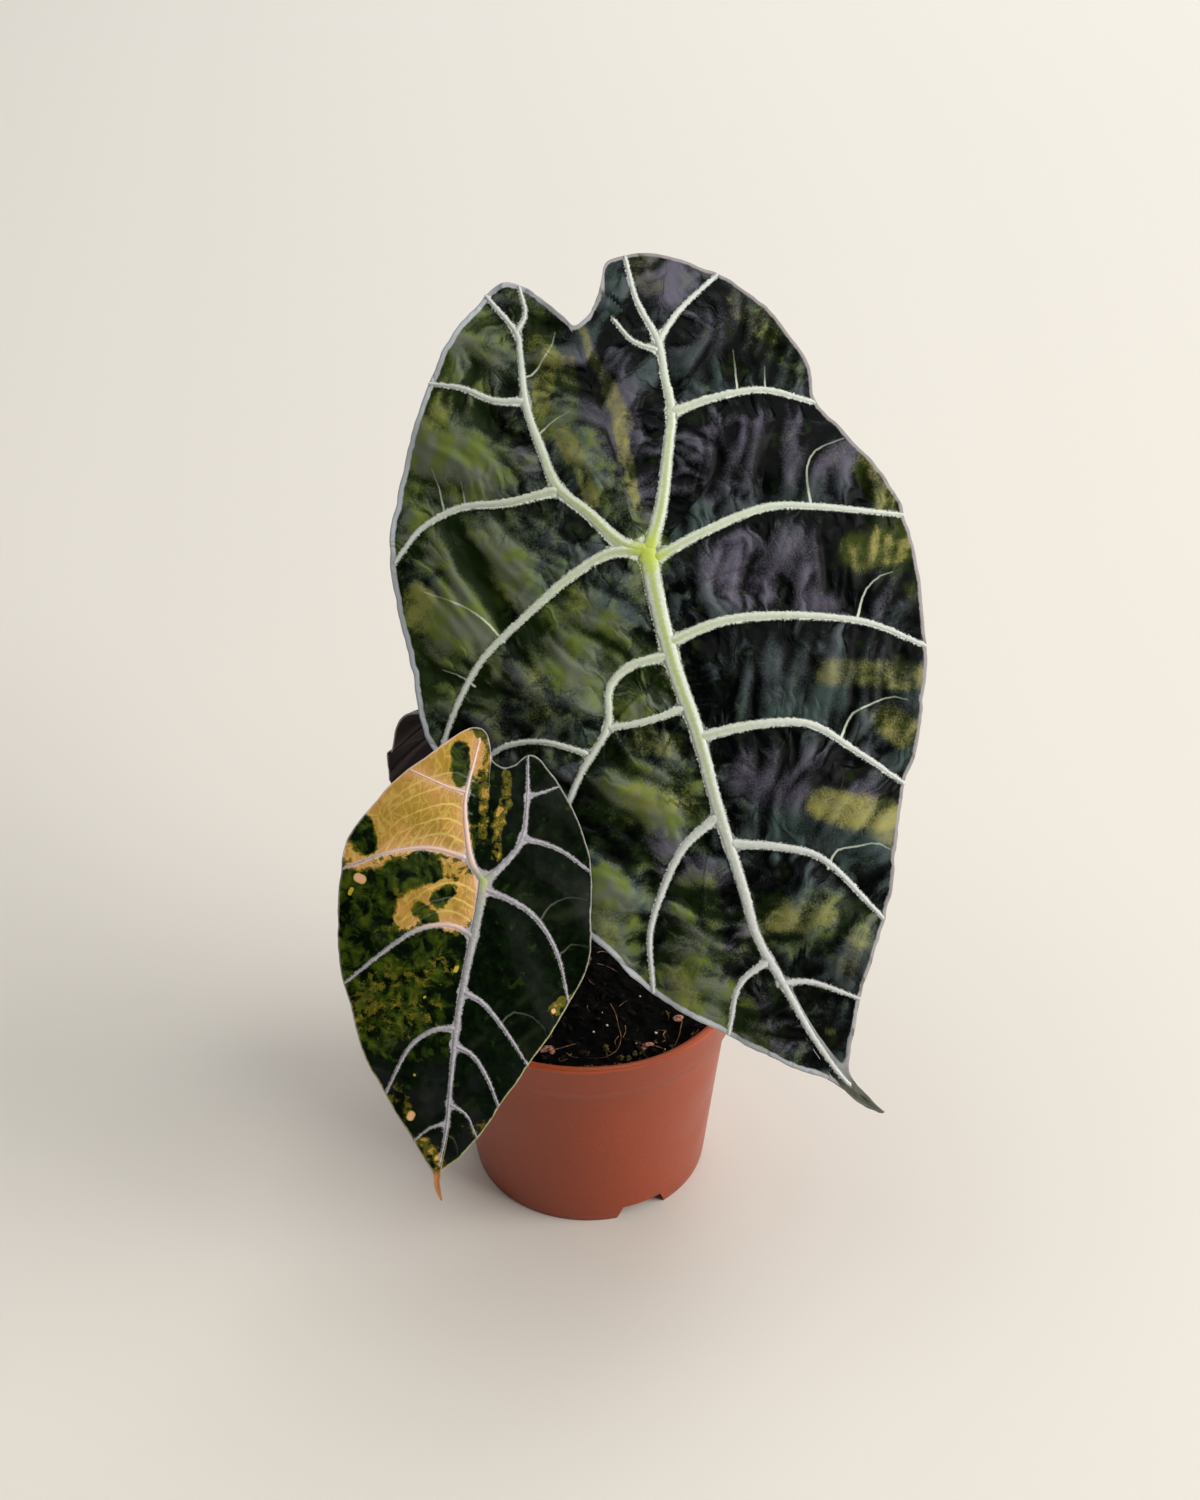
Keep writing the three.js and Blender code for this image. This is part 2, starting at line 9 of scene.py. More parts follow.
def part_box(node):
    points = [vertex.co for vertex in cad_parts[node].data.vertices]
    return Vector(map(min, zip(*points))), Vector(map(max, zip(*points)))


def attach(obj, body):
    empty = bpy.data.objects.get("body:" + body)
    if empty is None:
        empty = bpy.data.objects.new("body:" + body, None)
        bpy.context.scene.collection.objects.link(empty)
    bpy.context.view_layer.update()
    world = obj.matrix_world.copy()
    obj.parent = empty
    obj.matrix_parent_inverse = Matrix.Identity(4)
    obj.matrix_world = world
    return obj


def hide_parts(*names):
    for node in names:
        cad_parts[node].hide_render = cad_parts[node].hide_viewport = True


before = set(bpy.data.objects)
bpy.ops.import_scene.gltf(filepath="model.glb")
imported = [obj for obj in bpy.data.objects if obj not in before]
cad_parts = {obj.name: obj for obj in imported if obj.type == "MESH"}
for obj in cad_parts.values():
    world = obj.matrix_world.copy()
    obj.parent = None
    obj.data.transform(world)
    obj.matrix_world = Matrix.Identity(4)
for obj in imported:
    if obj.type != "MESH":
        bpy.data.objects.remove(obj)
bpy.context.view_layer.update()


# Nursery pot
# A thin-walled pot moulded in one shot from terracotta-coloured polypropylene: a tapered
# wall under a wider collar, a raised floor with drain holes, and a foot ring with three
# notches. Its lip is thin enough to glow where the light comes through, and that glow is
# painted into the colour at the top of the rim.

pot_low, pot_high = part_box("pot")
pot_x = (pot_low.x + pot_high.x) / 2
pot_y = (pot_low.y + pot_high.y) / 2


def pick(*pieces):
    """Selects these pieces and nothing else. The first one is active."""
    bpy.ops.object.select_all(action="DESELECT")
    for piece in reversed(pieces):
        piece.select_set(True)
        bpy.context.view_layer.objects.active = piece


def settle(obj, name, slot, *nodes):
    """Names and smooths a finished piece, leaves it at the origin and hangs it on the plant."""
    obj.name = name
    obj.data.name = name
    obj.data.polygons.foreach_set("use_smooth", [True] * len(obj.data.polygons))
    pick(obj)
    bpy.ops.object.transform_apply(location=True, rotation=True, scale=True)
    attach(obj, "root")
    if nodes:
        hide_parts(*nodes)
    return obj


def grow_rings(profile, sides, x, y):
    """A round body raised from a circle, ring by ring, through (radius, height) in mm."""
    pick()
    radius, height = profile[0]
    bpy.ops.mesh.primitive_circle_add(
        vertices=sides, radius=radius / 1000, fill_type="NGON",
        location=(x, y, height / 1000),
    )
    body = bpy.context.object
    bpy.ops.object.transform_apply(location=True, rotation=True, scale=True)
    bpy.ops.object.mode_set(mode="EDIT")
    bpy.ops.mesh.select_all(action="SELECT")
    for ring, rise in profile[1:]:
        bpy.ops.mesh.extrude_region_move(
            TRANSFORM_OT_translate={"value": (0, 0, (rise - height) / 1000)}
        )
        bpy.ops.transform.resize(
            value=(ring / radius, ring / radius, 1), center_override=(x, y, rise / 1000)
        )
        radius, height = ring, rise
    bpy.ops.mesh.select_all(action="SELECT")
    bpy.ops.mesh.normals_make_consistent(inside=False)
    bpy.ops.object.mode_set(mode="OBJECT")
    return body


def cut_away(body, cutter):
    """Cuts one body out of another and throws the cutter away."""
    pick(body)
    cut = body.modifiers.new("cut", "BOOLEAN")
    cut.operation = "DIFFERENCE"
    cut.solver = "EXACT"
    cut.object = cutter
    bpy.ops.object.modifier_apply(modifier=cut.name)
    bpy.data.objects.remove(cutter)


pot = grow_rings(
    [
        (20, 6.5), (43.2, 6.5), (43.5, 5.8), (43.5, 0.4), (43.7, 0), (44.7, 0), (45, 0.4),
        (45.5, 4), (48, 25), (50, 42), (51.5, 54), (53.2, 68), (53.9, 73.6), (54.2, 74.3),
        (55.2, 74.6), (56.3, 74.8), (56.8, 75.3), (57.4, 79), (58.7, 86), (59.5, 89.9),
        (59.6, 90.4), (60, 90.8), (60.1, 91.3), (59.9, 91.8), (59.4, 92), (58.2, 91.8),
        (57, 91.6), (56.6, 91.2), (56.4, 90.4), (55.6, 84), (55.1, 77.5), (54.6, 76),
        (53.2, 75), (52.4, 73.5), (50, 55), (46.6, 27), (44.3, 9.5), (43.4, 8.4), (42.4, 8.3),
        (20, 8.3),
    ],
    sides=144, x=pot_x, y=pot_y,
)
first_notch, foot_ring, notch_reach, notch_top = -64, 0.045, 0.005, 0.006
for notch in range(3):
    pick()
    bearing = math.radians(first_notch + 120 * notch)
    bpy.ops.mesh.primitive_cube_add(size=1, location=(0, 0, 0))
    cutter = bpy.context.object
    for corner in cutter.data.vertices:
        high_up = corner.co.z > 0
        half_width = 8 if high_up else 10.75
        corner.co = Vector((
            foot_ring + notch_reach * np.sign(corner.co.x),
            half_width / 1000 * np.sign(corner.co.y),
            notch_top if high_up else -0.001,
        ))
    cutter.data.transform(
        Matrix.Translation((pot_x, pot_y, 0)) @ Matrix.Rotation(bearing, 4, "Z")
    )
    cut_away(pot, cutter)
drain_ring, drain_radius = 0.033, 0.004
for drain in range(7):
    pick()
    bearing = math.radians(60 * drain)
    reach = drain_ring if drain < 6 else 0
    bpy.ops.mesh.primitive_cylinder_add(
        vertices=32, radius=drain_radius, depth=0.008,
        location=(pot_x + reach * math.cos(bearing), pot_y + reach * math.sin(bearing), 0.0074),
    )
    cutter = bpy.context.object
    bpy.ops.object.transform_apply(location=True, rotation=True, scale=True)
    cut_away(pot, cutter)

# The lip waves a little, as a thin moulding does when it is filled
collar_foot, collar_height, inside = 0.074, 0.018, 0.05
for vertex in pot.data.vertices:
    lift = max(0.0, (vertex.co.z - collar_foot) / collar_height)
    turn = math.atan2(vertex.co.y - pot_y, vertex.co.x - pot_x)
    if lift > 0 and math.hypot(vertex.co.x - pot_x, vertex.co.y - pot_y) > inside:
        wave = 0.00022 * math.sin(3 * turn + 0.7) + 0.00014 * math.sin(7 * turn)
        vertex.co.z += lift * (wave - 0.0002)
pick(pot)
bpy.ops.object.shade_smooth_by_angle(angle=math.radians(38))
settle(pot, "nursery_pot", "pot", "pot")


def node(owner, kind, wires=None, **settings):
    """Adds a shader node to the material of a node or socket, and wires or fills its sockets."""
    tree = owner.id_data
    made = tree.nodes.new("ShaderNode" + kind)
    for key, value in settings.items():
        setattr(made, key, value)
    for socket, value in (wires or {}).items():
        if isinstance(value, bpy.types.NodeSocket):
            tree.links.new(value, made.inputs[socket])
        else:
            made.inputs[socket].default_value = value
    return made


def finish(name, roughness, specular=0.5):
    """A new material and its surface shader."""
    made = bpy.data.materials.new(name)
    made.use_nodes = True
    surface = made.node_tree.nodes["Principled BSDF"]
    surface.inputs["Roughness"].default_value = roughness
    surface.inputs["Specular IOR Level"].default_value = specular
    return made, surface


def lay_on(surface, colour, *reliefs, roughness=None):
    """Gives a surface its colour, its reliefs, each (height, strength, depth in metres), and
    its roughness where that varies."""
    links = surface.id_data.links
    links.new(colour, surface.inputs["Base Color"])
    if roughness:
        links.new(roughness, surface.inputs["Roughness"])
    under = {}
    for height, strength, depth in reliefs:
        wires = {"Height": height, "Strength": strength, "Distance": depth}
        relief = node(surface, "Bump", wires | under).outputs[0]
        under = {"Normal": relief}
        links.new(relief, surface.inputs["Normal"])


def coat(piece, *materials):
    """Gives a piece its materials."""
    piece.data.materials.clear()
    for material in materials:
        piece.data.materials.append(material)


def position(surface):
    """Where a point of the piece is, in metres."""
    return node(surface, "TexCoord").outputs["Object"]


def upward(place):
    """The height of a place."""
    return node(place, "SeparateXYZ", {0: place}).outputs[2]


def stretched(place, scale):
    """A place scaled along each axis, for marks that run one way."""
    return node(place, "Mapping", {"Vector": place, "Scale": scale}).outputs[0]


def srgb(red, green, blue):
    """A colour read off a screen, 0 to 255, as the shader wants it."""
    def linear(level):
        level /= 255
        return level / 12.92 if level <= 0.04045 else ((level + 0.055) / 1.055) ** 2.4
    return (linear(red), linear(green), linear(blue), 1)


def calc(operation, first, second=0.0, clamp=False):
    """One sum on one or two values."""
    owner = first if isinstance(first, bpy.types.NodeSocket) else second
    made = node(owner, "Math", {0: first, 1: second}, operation=operation, use_clamp=clamp)
    return made.outputs[0]


def times(first, second):
    """The product of two values."""
    return calc("MULTIPLY", first, second)


def minus(first, second):
    """The first value less the second."""
    return calc("SUBTRACT", first, second)


def plus(total, *parts):
    """A value and others added to it, each alone or as (value, weight)."""
    for part in parts:
        total = calc("ADD", total, times(*part) if isinstance(part, tuple) else part)
    return total


def blend(amount, under, over):
    """Two colours mixed by an amount. Each is a socket or (red, green, blue) as on a screen."""
    under, over = (srgb(*shade) if isinstance(shade, tuple) else shade for shade in (under, over))
    return node(amount, "Mix", {0: amount, 6: under, 7: over}, data_type="RGBA").outputs[2]


def ramp(value, low, high, out_low=0.0, out_high=1.0):
    """A value carried from one range to another, eased at the ends and held beyond them."""
    wires = {0: value, 1: low, 2: high, 3: out_low, 4: out_high}
    return node(value, "MapRange", wires, interpolation_type="SMOOTHSTEP").outputs[0]


def speckle(place, scale, detail=3.0, rough=0.55, warp=0.0):
    """A cloudy noise over a place, from 0 to 1."""
    wires = {"Vector": place, "Scale": scale, "Detail": detail, "Roughness": rough,
             "Distortion": warp}
    return node(place, "TexNoise", wires).outputs[0]


material, surface = finish("terracotta_plastic", 0.38, specular=0.4)
where = position(surface)
height = upward(where)
cloud = speckle(where, 38, 4)
drawn = speckle(stretched(where, (1, 1, 0.22)), 240, 3)
pitted = speckle(where, 2600, 3, 0.7)
colour = blend(cloud, (155, 64, 32), (171, 75, 40))
colour = blend(ramp(pitted, 0.35, 0.62, 0.6, 0), colour, (112, 46, 24))
colour = blend(ramp(drawn, 0.5, 0.75, 0, 0.12), colour, (128, 58, 38))
# Painted glow: the top of the rim turns a lighter orange, standing in for light coming through the
# thin plastic
painted_lip_glow = ramp(plus(height, (speckle(where, 90, 2), 0.0012)), 0.0913, 0.0921)
colour = blend(times(painted_lip_glow, 0.75), colour, (204, 88, 38))
dusty = times(ramp(speckle(where, 420, 2), 0.73, 0.8), ramp(height, 0.066, 0.088))
colour = blend(times(dusty, 0.45), colour, (220, 186, 162))
soiled = times(ramp(speckle(where, 95, 4), 0.52, 0.72), ramp(height, 0.014, 0.0, 0, 0.4))
colour = blend(soiled, colour, (96, 60, 44))
lay_on(surface, colour, (pitted, 0.4, 0.0002), roughness=ramp(cloud, 0.3, 0.7, 0.3, 0.42))
coat(pot, material)


# Potting soil
# A dark, moist mix of peat and composted bark that fills the pot to just under its lip.
# Its surface is loose and lumpy, and meets the inside of the collar all round.

soil_level, soil_edge, soil_rings = 86.5, 55.2, 84


def soil_top(x, y):
    """How high the soil stands at a place given in mm from the pot's axis."""
    broad = 0.65 * math.sin(0.19 * x + 1.1) * math.cos(0.23 * y)
    broad += 0.39 * math.sin(0.41 * x - 0.37 * y + 0.6)
    lumps = noise.fractal(Vector((x * 0.16, y * 0.16, 3.1)), 0.8, 2.1, 4)
    crumbs = noise.fractal(Vector((x * 0.75, y * 0.75, 8.4)), 0.7, 2.2, 3)
    return soil_level + broad + 1.5 * lumps + 0.75 * crumbs


soil_profile = [(20, 8.7), (43.1, 8.7), (52, 74.4), (54.2, 76.4), (55.3, 84.6)]
soil_profile += [
    (soil_edge * (1 - ring / soil_rings) + 0.4, soil_level) for ring in range(soil_rings)
]
soil = grow_rings(soil_profile, sides=190, x=pot_x, y=pot_y)
for vertex in soil.data.vertices:
    if vertex.co.z > (soil_level - 0.3) / 1000:
        vertex.co.z = soil_top((vertex.co.x - pot_x) * 1000, (vertex.co.y - pot_y) * 1000) / 1000
settle(soil, "potting_soil", "soil", "soil")

material, surface = finish("potting_mix", 0.9, specular=0.1)
where = position(surface)
grain = speckle(where, 900, 5, 0.65)
clods = speckle(where, 210, 4)
fibre = speckle(stretched(where, (1, 5, 1)), 330, 3)
colour = blend(ramp(grain, 0.35, 0.75), (1, 1, 1), (10, 7, 5))
colour = blend(ramp(clods, 0.58, 0.78, 0, 0.6), colour, (32, 22, 15))
colour = blend(ramp(fibre, 0.72, 0.76, 0, 0.6), colour, (96, 74, 50))
lay_on(surface, colour, (grain, 0.9, 0.0012))
coat(soil, material)


# Loose bark, perlite and moss
# What a potting mix shows on top: flat splinters of composted bark, white beads of expanded
# perlite, tufts of green moss along the damp lip, and pale dry roots and twigs.

draw = np.random.default_rng(11)

# The crown's place in mm from the pot's axis, the room left round it, and the soil's radius
crown_x, crown_y, crown_clear, lip_clear = -9, 7, 14, 53.6


def knobs(seeds, detail, radius, flat, rough):
    """Small knobbly lumps, one for each seed, with y and z scaled by the two parts of flat."""
    made = []
    for seed in seeds:
        pick()
        bpy.ops.mesh.primitive_ico_sphere_add(subdivisions=detail, radius=radius / 1000)
        made.append(bpy.context.object)
        for vertex in made[-1].data.vertices:
            push = 1 + rough * noise.noise(vertex.co * (900 / radius) + Vector((seed, 0, 0)))
            flattened = Vector((vertex.co.x, vertex.co.y * flat[0], vertex.co.z * flat[1]))
            vertex.co = flattened * push
    return made


def scatter(name, models, places):
    """Copies lumps to places (x, y, size, sink, turn, lean), joined as one piece."""
    copies = []
    for x, y, size, sink, turn, lean in places:
        model = models[int(draw.integers(len(models)))]
        copy = bpy.data.objects.new(name, model.data.copy())
        bpy.context.scene.collection.objects.link(copy)
        at = Vector((pot_x + x / 1000, pot_y + y / 1000, (soil_top(x, y) - sink) / 1000))
        tilt = Matrix.Rotation(lean, 4, Vector((math.cos(turn * 3), math.sin(turn * 3), 0)))
        copy.data.transform(
            Matrix.Translation(at) @ tilt @ Matrix.Rotation(turn, 4, "Z")
            @ Matrix.Diagonal((size, size, size, 1))
        )
        copies.append(copy)
    pick(*copies)
    bpy.ops.object.join()
    for model in models:
        bpy.data.objects.remove(model)
    return settle(copies[0], name, "soil")


def anywhere(count, low, high, sink, lean):
    """Random places on the soil, clear of the crown and just inside the lip."""
    found = []
    while len(found) < count:
        x, y = draw.uniform(-lip_clear, lip_clear, 2)
        by_crown = math.hypot(x - crown_x, y - crown_y) < crown_clear
        if math.hypot(x, y) > lip_clear or by_crown:
            continue
        size = draw.uniform(low, high)
        found.append((x, y, size, sink * size, draw.uniform(0, 6.3), draw.uniform(-lean, lean)))
    return found


def here(*spots):
    """Chosen places (x, y, size, turn) for lumps that lie on the soil."""
    return [(x, y, size, -0.35 * size, turn, 0.3) for x, y, size, turn in spots]


chips = scatter(
    "bark_chips", knobs(range(5), detail=2, radius=2.4, flat=(0.45, 0.28), rough=0.7),
    anywhere(300, low=0.3, high=1.05, sink=0.3, lean=0.5) + here(
        (14.6, -38.4, 0.6, 0.4), (24, -45, 0.8, 0.2), (-2, -43.5, 0.9, 0.7), (29.5, -37, 0.7, 2),
        (-9, -46.5, 0.8, 1.1), (3.5, -46.8, 0.6, 0.1),
    ),
)
material, surface = finish("composted_bark", 0.85, specular=0.15)
where = position(surface)
patch = speckle(where, 160, 2)
streak = speckle(where, 1500, 3)
colour = blend(ramp(patch, 0.42, 0.62), (7, 5, 4), (32, 21, 14))
colour = blend(ramp(patch, 0.64, 0.76, 0, 0.8), colour, (96, 62, 42))
colour = blend(ramp(streak, 0.4, 0.7, 0, 0.5), colour, (20, 13, 9))
lay_on(surface, colour, (streak, 0.6, 0.0004))
coat(chips, material)

rosy_chips = scatter(
    "rosy_bark", knobs((60, 61), detail=3, radius=2.4, flat=(0.6, 0.4), rough=0.8),
    here((-14.2, -43.4, 1.15, 0.3), (-12.4, -44.4, 0.6, 1.2), (34.4, -28.4, 0.95, 0.6),
         (21.6, -41.9, 1.05, 0.15), (23.4, -40.4, 0.45, 1.7)),
)
material, surface = finish("fresh_bark", 0.85, specular=0.2)
patch = speckle(position(surface), 700, 4, 0.7)
colour = blend(ramp(patch, 0.35, 0.65), (96, 50, 36), (206, 150, 128))
lay_on(surface, colour, (patch, 0.8, 0.0006))
coat(rosy_chips, material)

perlite = scatter(
    "perlite", knobs((20, 21, 22), detail=2, radius=0.9, flat=(0.9, 0.8), rough=0.5),
    anywhere(22, low=0.2, high=0.55, sink=0.1, lean=3.1) + here(
        (25.4, -34.6, 0.62, 0), (18, -40.7, 0.42, 1), (7.4, -29.9, 0.6, 2), (2.4, -34.1, 0.5, 0.5),
    ),
)
material, surface = finish("perlite_white", 0.8)
pits = speckle(position(surface), 2600, 3)
lay_on(surface, blend(ramp(pits, 0.3, 0.6), (168, 158, 140), (236, 232, 222)))
coat(perlite, material)

tufts = []
for _ in range(150):
    bearing = math.radians(draw.uniform(0, 360))
    radius = draw.uniform(51.5, 54.6)
    if 0.5 + 0.5 * math.sin(2.3 * bearing + 0.6) > draw.uniform(0.25, 1.0):
        continue
    tufts.append((radius * math.cos(bearing), radius * math.sin(bearing),
                  draw.uniform(0.4, 1.1), -0.1, draw.uniform(0, 6.3), draw.uniform(-0.6, 0.6)))
tufts += here(
    (6.8, -40.8, 1.75, 0.2), (6.9, -42.6, 1.1, 1.9), (12.5, -46.6, 1.2, 0.3), (15, -46.4, 1.3, 1.4),
    (17.6, -46.2, 1.1, 2.6), (20, -46, 0.9, 0.9), (29.4, -36.4, 0.7, 0.4), (30.2, -23.5, 0.6, 0.8),
    (-6.4, -45.4, 0.8, 1.7),
)
moss = scatter(
    "lip_moss", knobs((40, 41, 42), detail=3, radius=0.95, flat=(0.8, 0.75), rough=1.5), tufts
)
material, surface = finish("moss_green", 0.9, specular=0.15)
tips = speckle(position(surface), 2200, 4)
colour = blend(ramp(tips, 0.3, 0.7), (30, 28, 12), (134, 128, 66))
lay_on(surface, colour, (tips, 1.0, 0.0006))
coat(moss, material)


def distances(line):
    """How far along a line each of its points is."""
    return np.concatenate([[0], np.cumsum(np.linalg.norm(np.diff(line, axis=0), axis=1))])


def points_at(line, at):
    """The points at given distances along a line."""
    far = distances(line)
    return np.column_stack([np.interp(at, far, column) for column in line.T])


def smooth_line(points, spacing):
    """Even points along the smooth curve through the given ones, of any dimension."""
    points = np.asarray(points, float)
    ends = np.vstack([2 * points[0] - points[1], points, 2 * points[-1] - points[-2]])
    t = np.linspace(0, 1, 24, endpoint=False)[:, None]
    runs = []
    for a, b, c, d in zip(ends, ends[1:], ends[2:], ends[3:]):
        runs.append(0.5 * (2 * b + (c - a) * t + (2 * a - 5 * b + 4 * c - d) * t**2
                           + (3 * b - a - 3 * c + d) * t**3))
    dense = np.vstack(runs + [points[-1:]])
    length = distances(dense)[-1]
    count = max(3, int(round(length / spacing)) + 1)
    return points_at(dense, np.linspace(0, length, count))


def once_round(sides):
    """Angles once round a circle, one for each side."""
    return np.linspace(0, 2 * math.pi, sides, endpoint=False)


def tube(line, radii, sides, up=(0.0, 0.0, 1.0), section=None):
    """Points and faces of a closed tube along a line. The section may be given by angle."""
    line = np.asarray(line, float)
    ahead = np.gradient(line, axis=0)
    ahead /= np.linalg.norm(ahead, axis=1)[:, None]
    side = np.cross(ahead, np.broadcast_to(np.asarray(up, float), line.shape))
    side /= np.linalg.norm(side, axis=1)[:, None]
    rise = np.cross(side, ahead)
    turn = once_round(sides)
    radii = np.broadcast_to(np.asarray(radii, float), len(line))
    if section is None:
        across, deep = np.outer(radii, np.cos(turn)), np.outer(radii, np.sin(turn))
    else:
        across, deep = section(turn)
    points = (line[:, None] + across[..., None] * side[:, None] + deep[..., None] * rise[:, None])
    points = points.reshape(-1, 3)
    faces = []
    for ring in range(len(line) - 1):
        for k in range(sides):
            a, b = ring * sides + k, ring * sides + (k + 1) % sides
            faces.append((a, a + sides, b + sides, b))
    faces.append(tuple(range(sides)))
    last = (len(line) - 1) * sides
    faces.append(tuple(last + k for k in reversed(range(sides))))
    return points, faces


def mesh_piece(name, parts):
    """One object from several (points, faces) in metres."""
    points, faces, count = [], [], 0
    for some_points, some_faces in parts:
        points.append(np.asarray(some_points, float))
        faces += [tuple(int(v) + count for v in face) for face in some_faces]
        count += len(some_points)
    mesh = bpy.data.meshes.new(name)
    mesh.from_pydata(np.vstack(points).tolist(), [], faces)
    mesh.update()
    made = bpy.data.objects.new(name, mesh)
    bpy.context.scene.collection.objects.link(made)
    return made


# Places of the roots and twigs, in mm from the pot's axis
root_lines = [
    [(8.8, -17.1), (10.6, -24), (11.6, -30.5), (12.5, -37.9), (10.9, -44.3), (6.5, -47.4),
     (0, -47.2)],
    [(14.1, -29.1), (14.2, -33), (12.5, -38.6)],
    [(11.6, -36), (10.2, -39), (10.8, -42.5)],
    [(-12.1, -43), (-8, -41.6), (-4.3, -39.4)],
    [(-7.7, -44.5), (-5.6, -46.4), (-3.3, -46.7)],
    [(0.7, -42.4), (0.2, -44.4), (-1.3, -45.7)],
    [(35.2, -29.6), (33.8, -36.2), (31.3, -42.8)],
    [(42, -31), (40.6, -33.6), (39.6, -35.5)],
    [(29.5, -22.5), (30.4, -24.6), (30, -27)],
    [(29, -34), (28, -36), (29, -38.5)],
    [(4.1, 11.9), (6.1, 13.0), (8.4, 12.6)],
    [(3.5, 5.3), (8, 3.6), (12.1, 1.1)],
    [(0.9, -4.7), (1.6, -6.6), (2.9, -7.8)],
    [(0.3, -18.4), (0.1, -20), (1.0, -21.4)],
    [(11.8, -19.4), (13.4, -18), (15.3, -16.5)],
    [(-40, -20), (-34, -10), (-36, 2)],
    [(-30, 24), (-20, 32), (-8, 36)],
    [(12, 28), (24, 34), (32, 30)],
    [(-12, 44), (2, 47), (14, 44)],
]
for _ in range(110):
    bearing, radius = draw.uniform(0, 2 * math.pi), draw.uniform(43, 54)
    start = np.array([radius * math.cos(bearing), radius * math.sin(bearing)])
    bend = draw.uniform(-1, 1, (2, 2)) * (3, 2)
    route = [start, start + bend[0], start + bend[0] + bend[1]]
    if all(math.hypot(*point) < 54.5 for point in route):
        root_lines.append(route)
strands = []
for number, route in enumerate(root_lines):
    line = smooth_line(route, spacing=1.0)
    lift = 0.35 + 0.9 * np.sin(np.linspace(0, math.pi, len(line))) * (number % 3 == 0)
    heights = np.array([soil_top(x, y) for x, y in line]) + lift
    heights = np.convolve(np.pad(heights, 3, mode="edge"), np.ones(7) / 7, mode="valid")
    spot = np.column_stack([line[:, 0] / 1000 + pot_x, line[:, 1] / 1000 + pot_y, heights / 1000])
    width = np.interp(np.linspace(0, 1, len(line)), [0, 0.7, 1], [0.2, 0.17, 0.06])
    strands.append(tube(spot, width * draw.uniform(0.5, 1.1) / 1000, sides=8))
roots = settle(mesh_piece("dry_roots", strands), "dry_roots", "soil")
material, surface = finish("root_straw", 0.75)
tone = speckle(position(surface), 300, 3)
lay_on(surface, blend(ramp(tone, 0.35, 0.65), (66, 40, 24), (176, 124, 82)))
coat(roots, material)


# Crown
# The short, upright stem in the middle of the soil. It is ringed by the scars of old leaves
# and wrapped in papery brown sheaths, and the stalks grow out of its top.

crown = grow_rings(
    [
        (6, 72.6), (9.6, 74), (10.9, 79.5), (11, 84.5), (10.8, 86.5), (11.1, 87.6),
        (10.6, 88.4), (10.7, 89.8), (10.9, 90.8), (10.2, 91.6), (10.2, 93), (10.3, 94),
        (9.6, 94.8), (9.4, 96), (9, 97), (7.4, 97.4), (3, 97.5),
    ],
    sides=72, x=pot_x + crown_x / 1000, y=pot_y + crown_y / 1000,
)
pick(crown)
fine = crown.modifiers.new("fine", "SUBSURF")
fine.levels = fine.render_levels = 1
bpy.ops.object.modifier_apply(modifier=fine.name)
for vertex in crown.data.vertices:
    away = Vector((vertex.co.x - pot_x - crown_x / 1000, vertex.co.y - pot_y - crown_y / 1000, 0))
    turn = math.atan2(away.y, away.x)
    ridges = 0.035 * math.sin(19 * turn)
    scars = 0.09 * noise.noise(Vector((turn * 1.6, vertex.co.z * 260, 2)))
    vertex.co += away * (ridges + scars - 0.06)
settle(crown, "crown_stem", "crown", "crown")
material, surface = finish("papery_sheath", 0.75)
where = position(surface)
fibres = speckle(stretched(where, (1, 1, 0.12)), 900, 4)
blotch = speckle(where, 180, 3)
height = upward(where)
colour = blend(fibres, (88, 64, 42), (168, 140, 100))
colour = blend(ramp(blotch, 0.45, 0.65, 0, 0.7), colour, (96, 104, 58))
colour = blend(ramp(height, 0.0905, 0.086), colour, (46, 33, 24))
lay_on(surface, colour, (fibres, 0.5, 0.0005))
coat(crown, material)
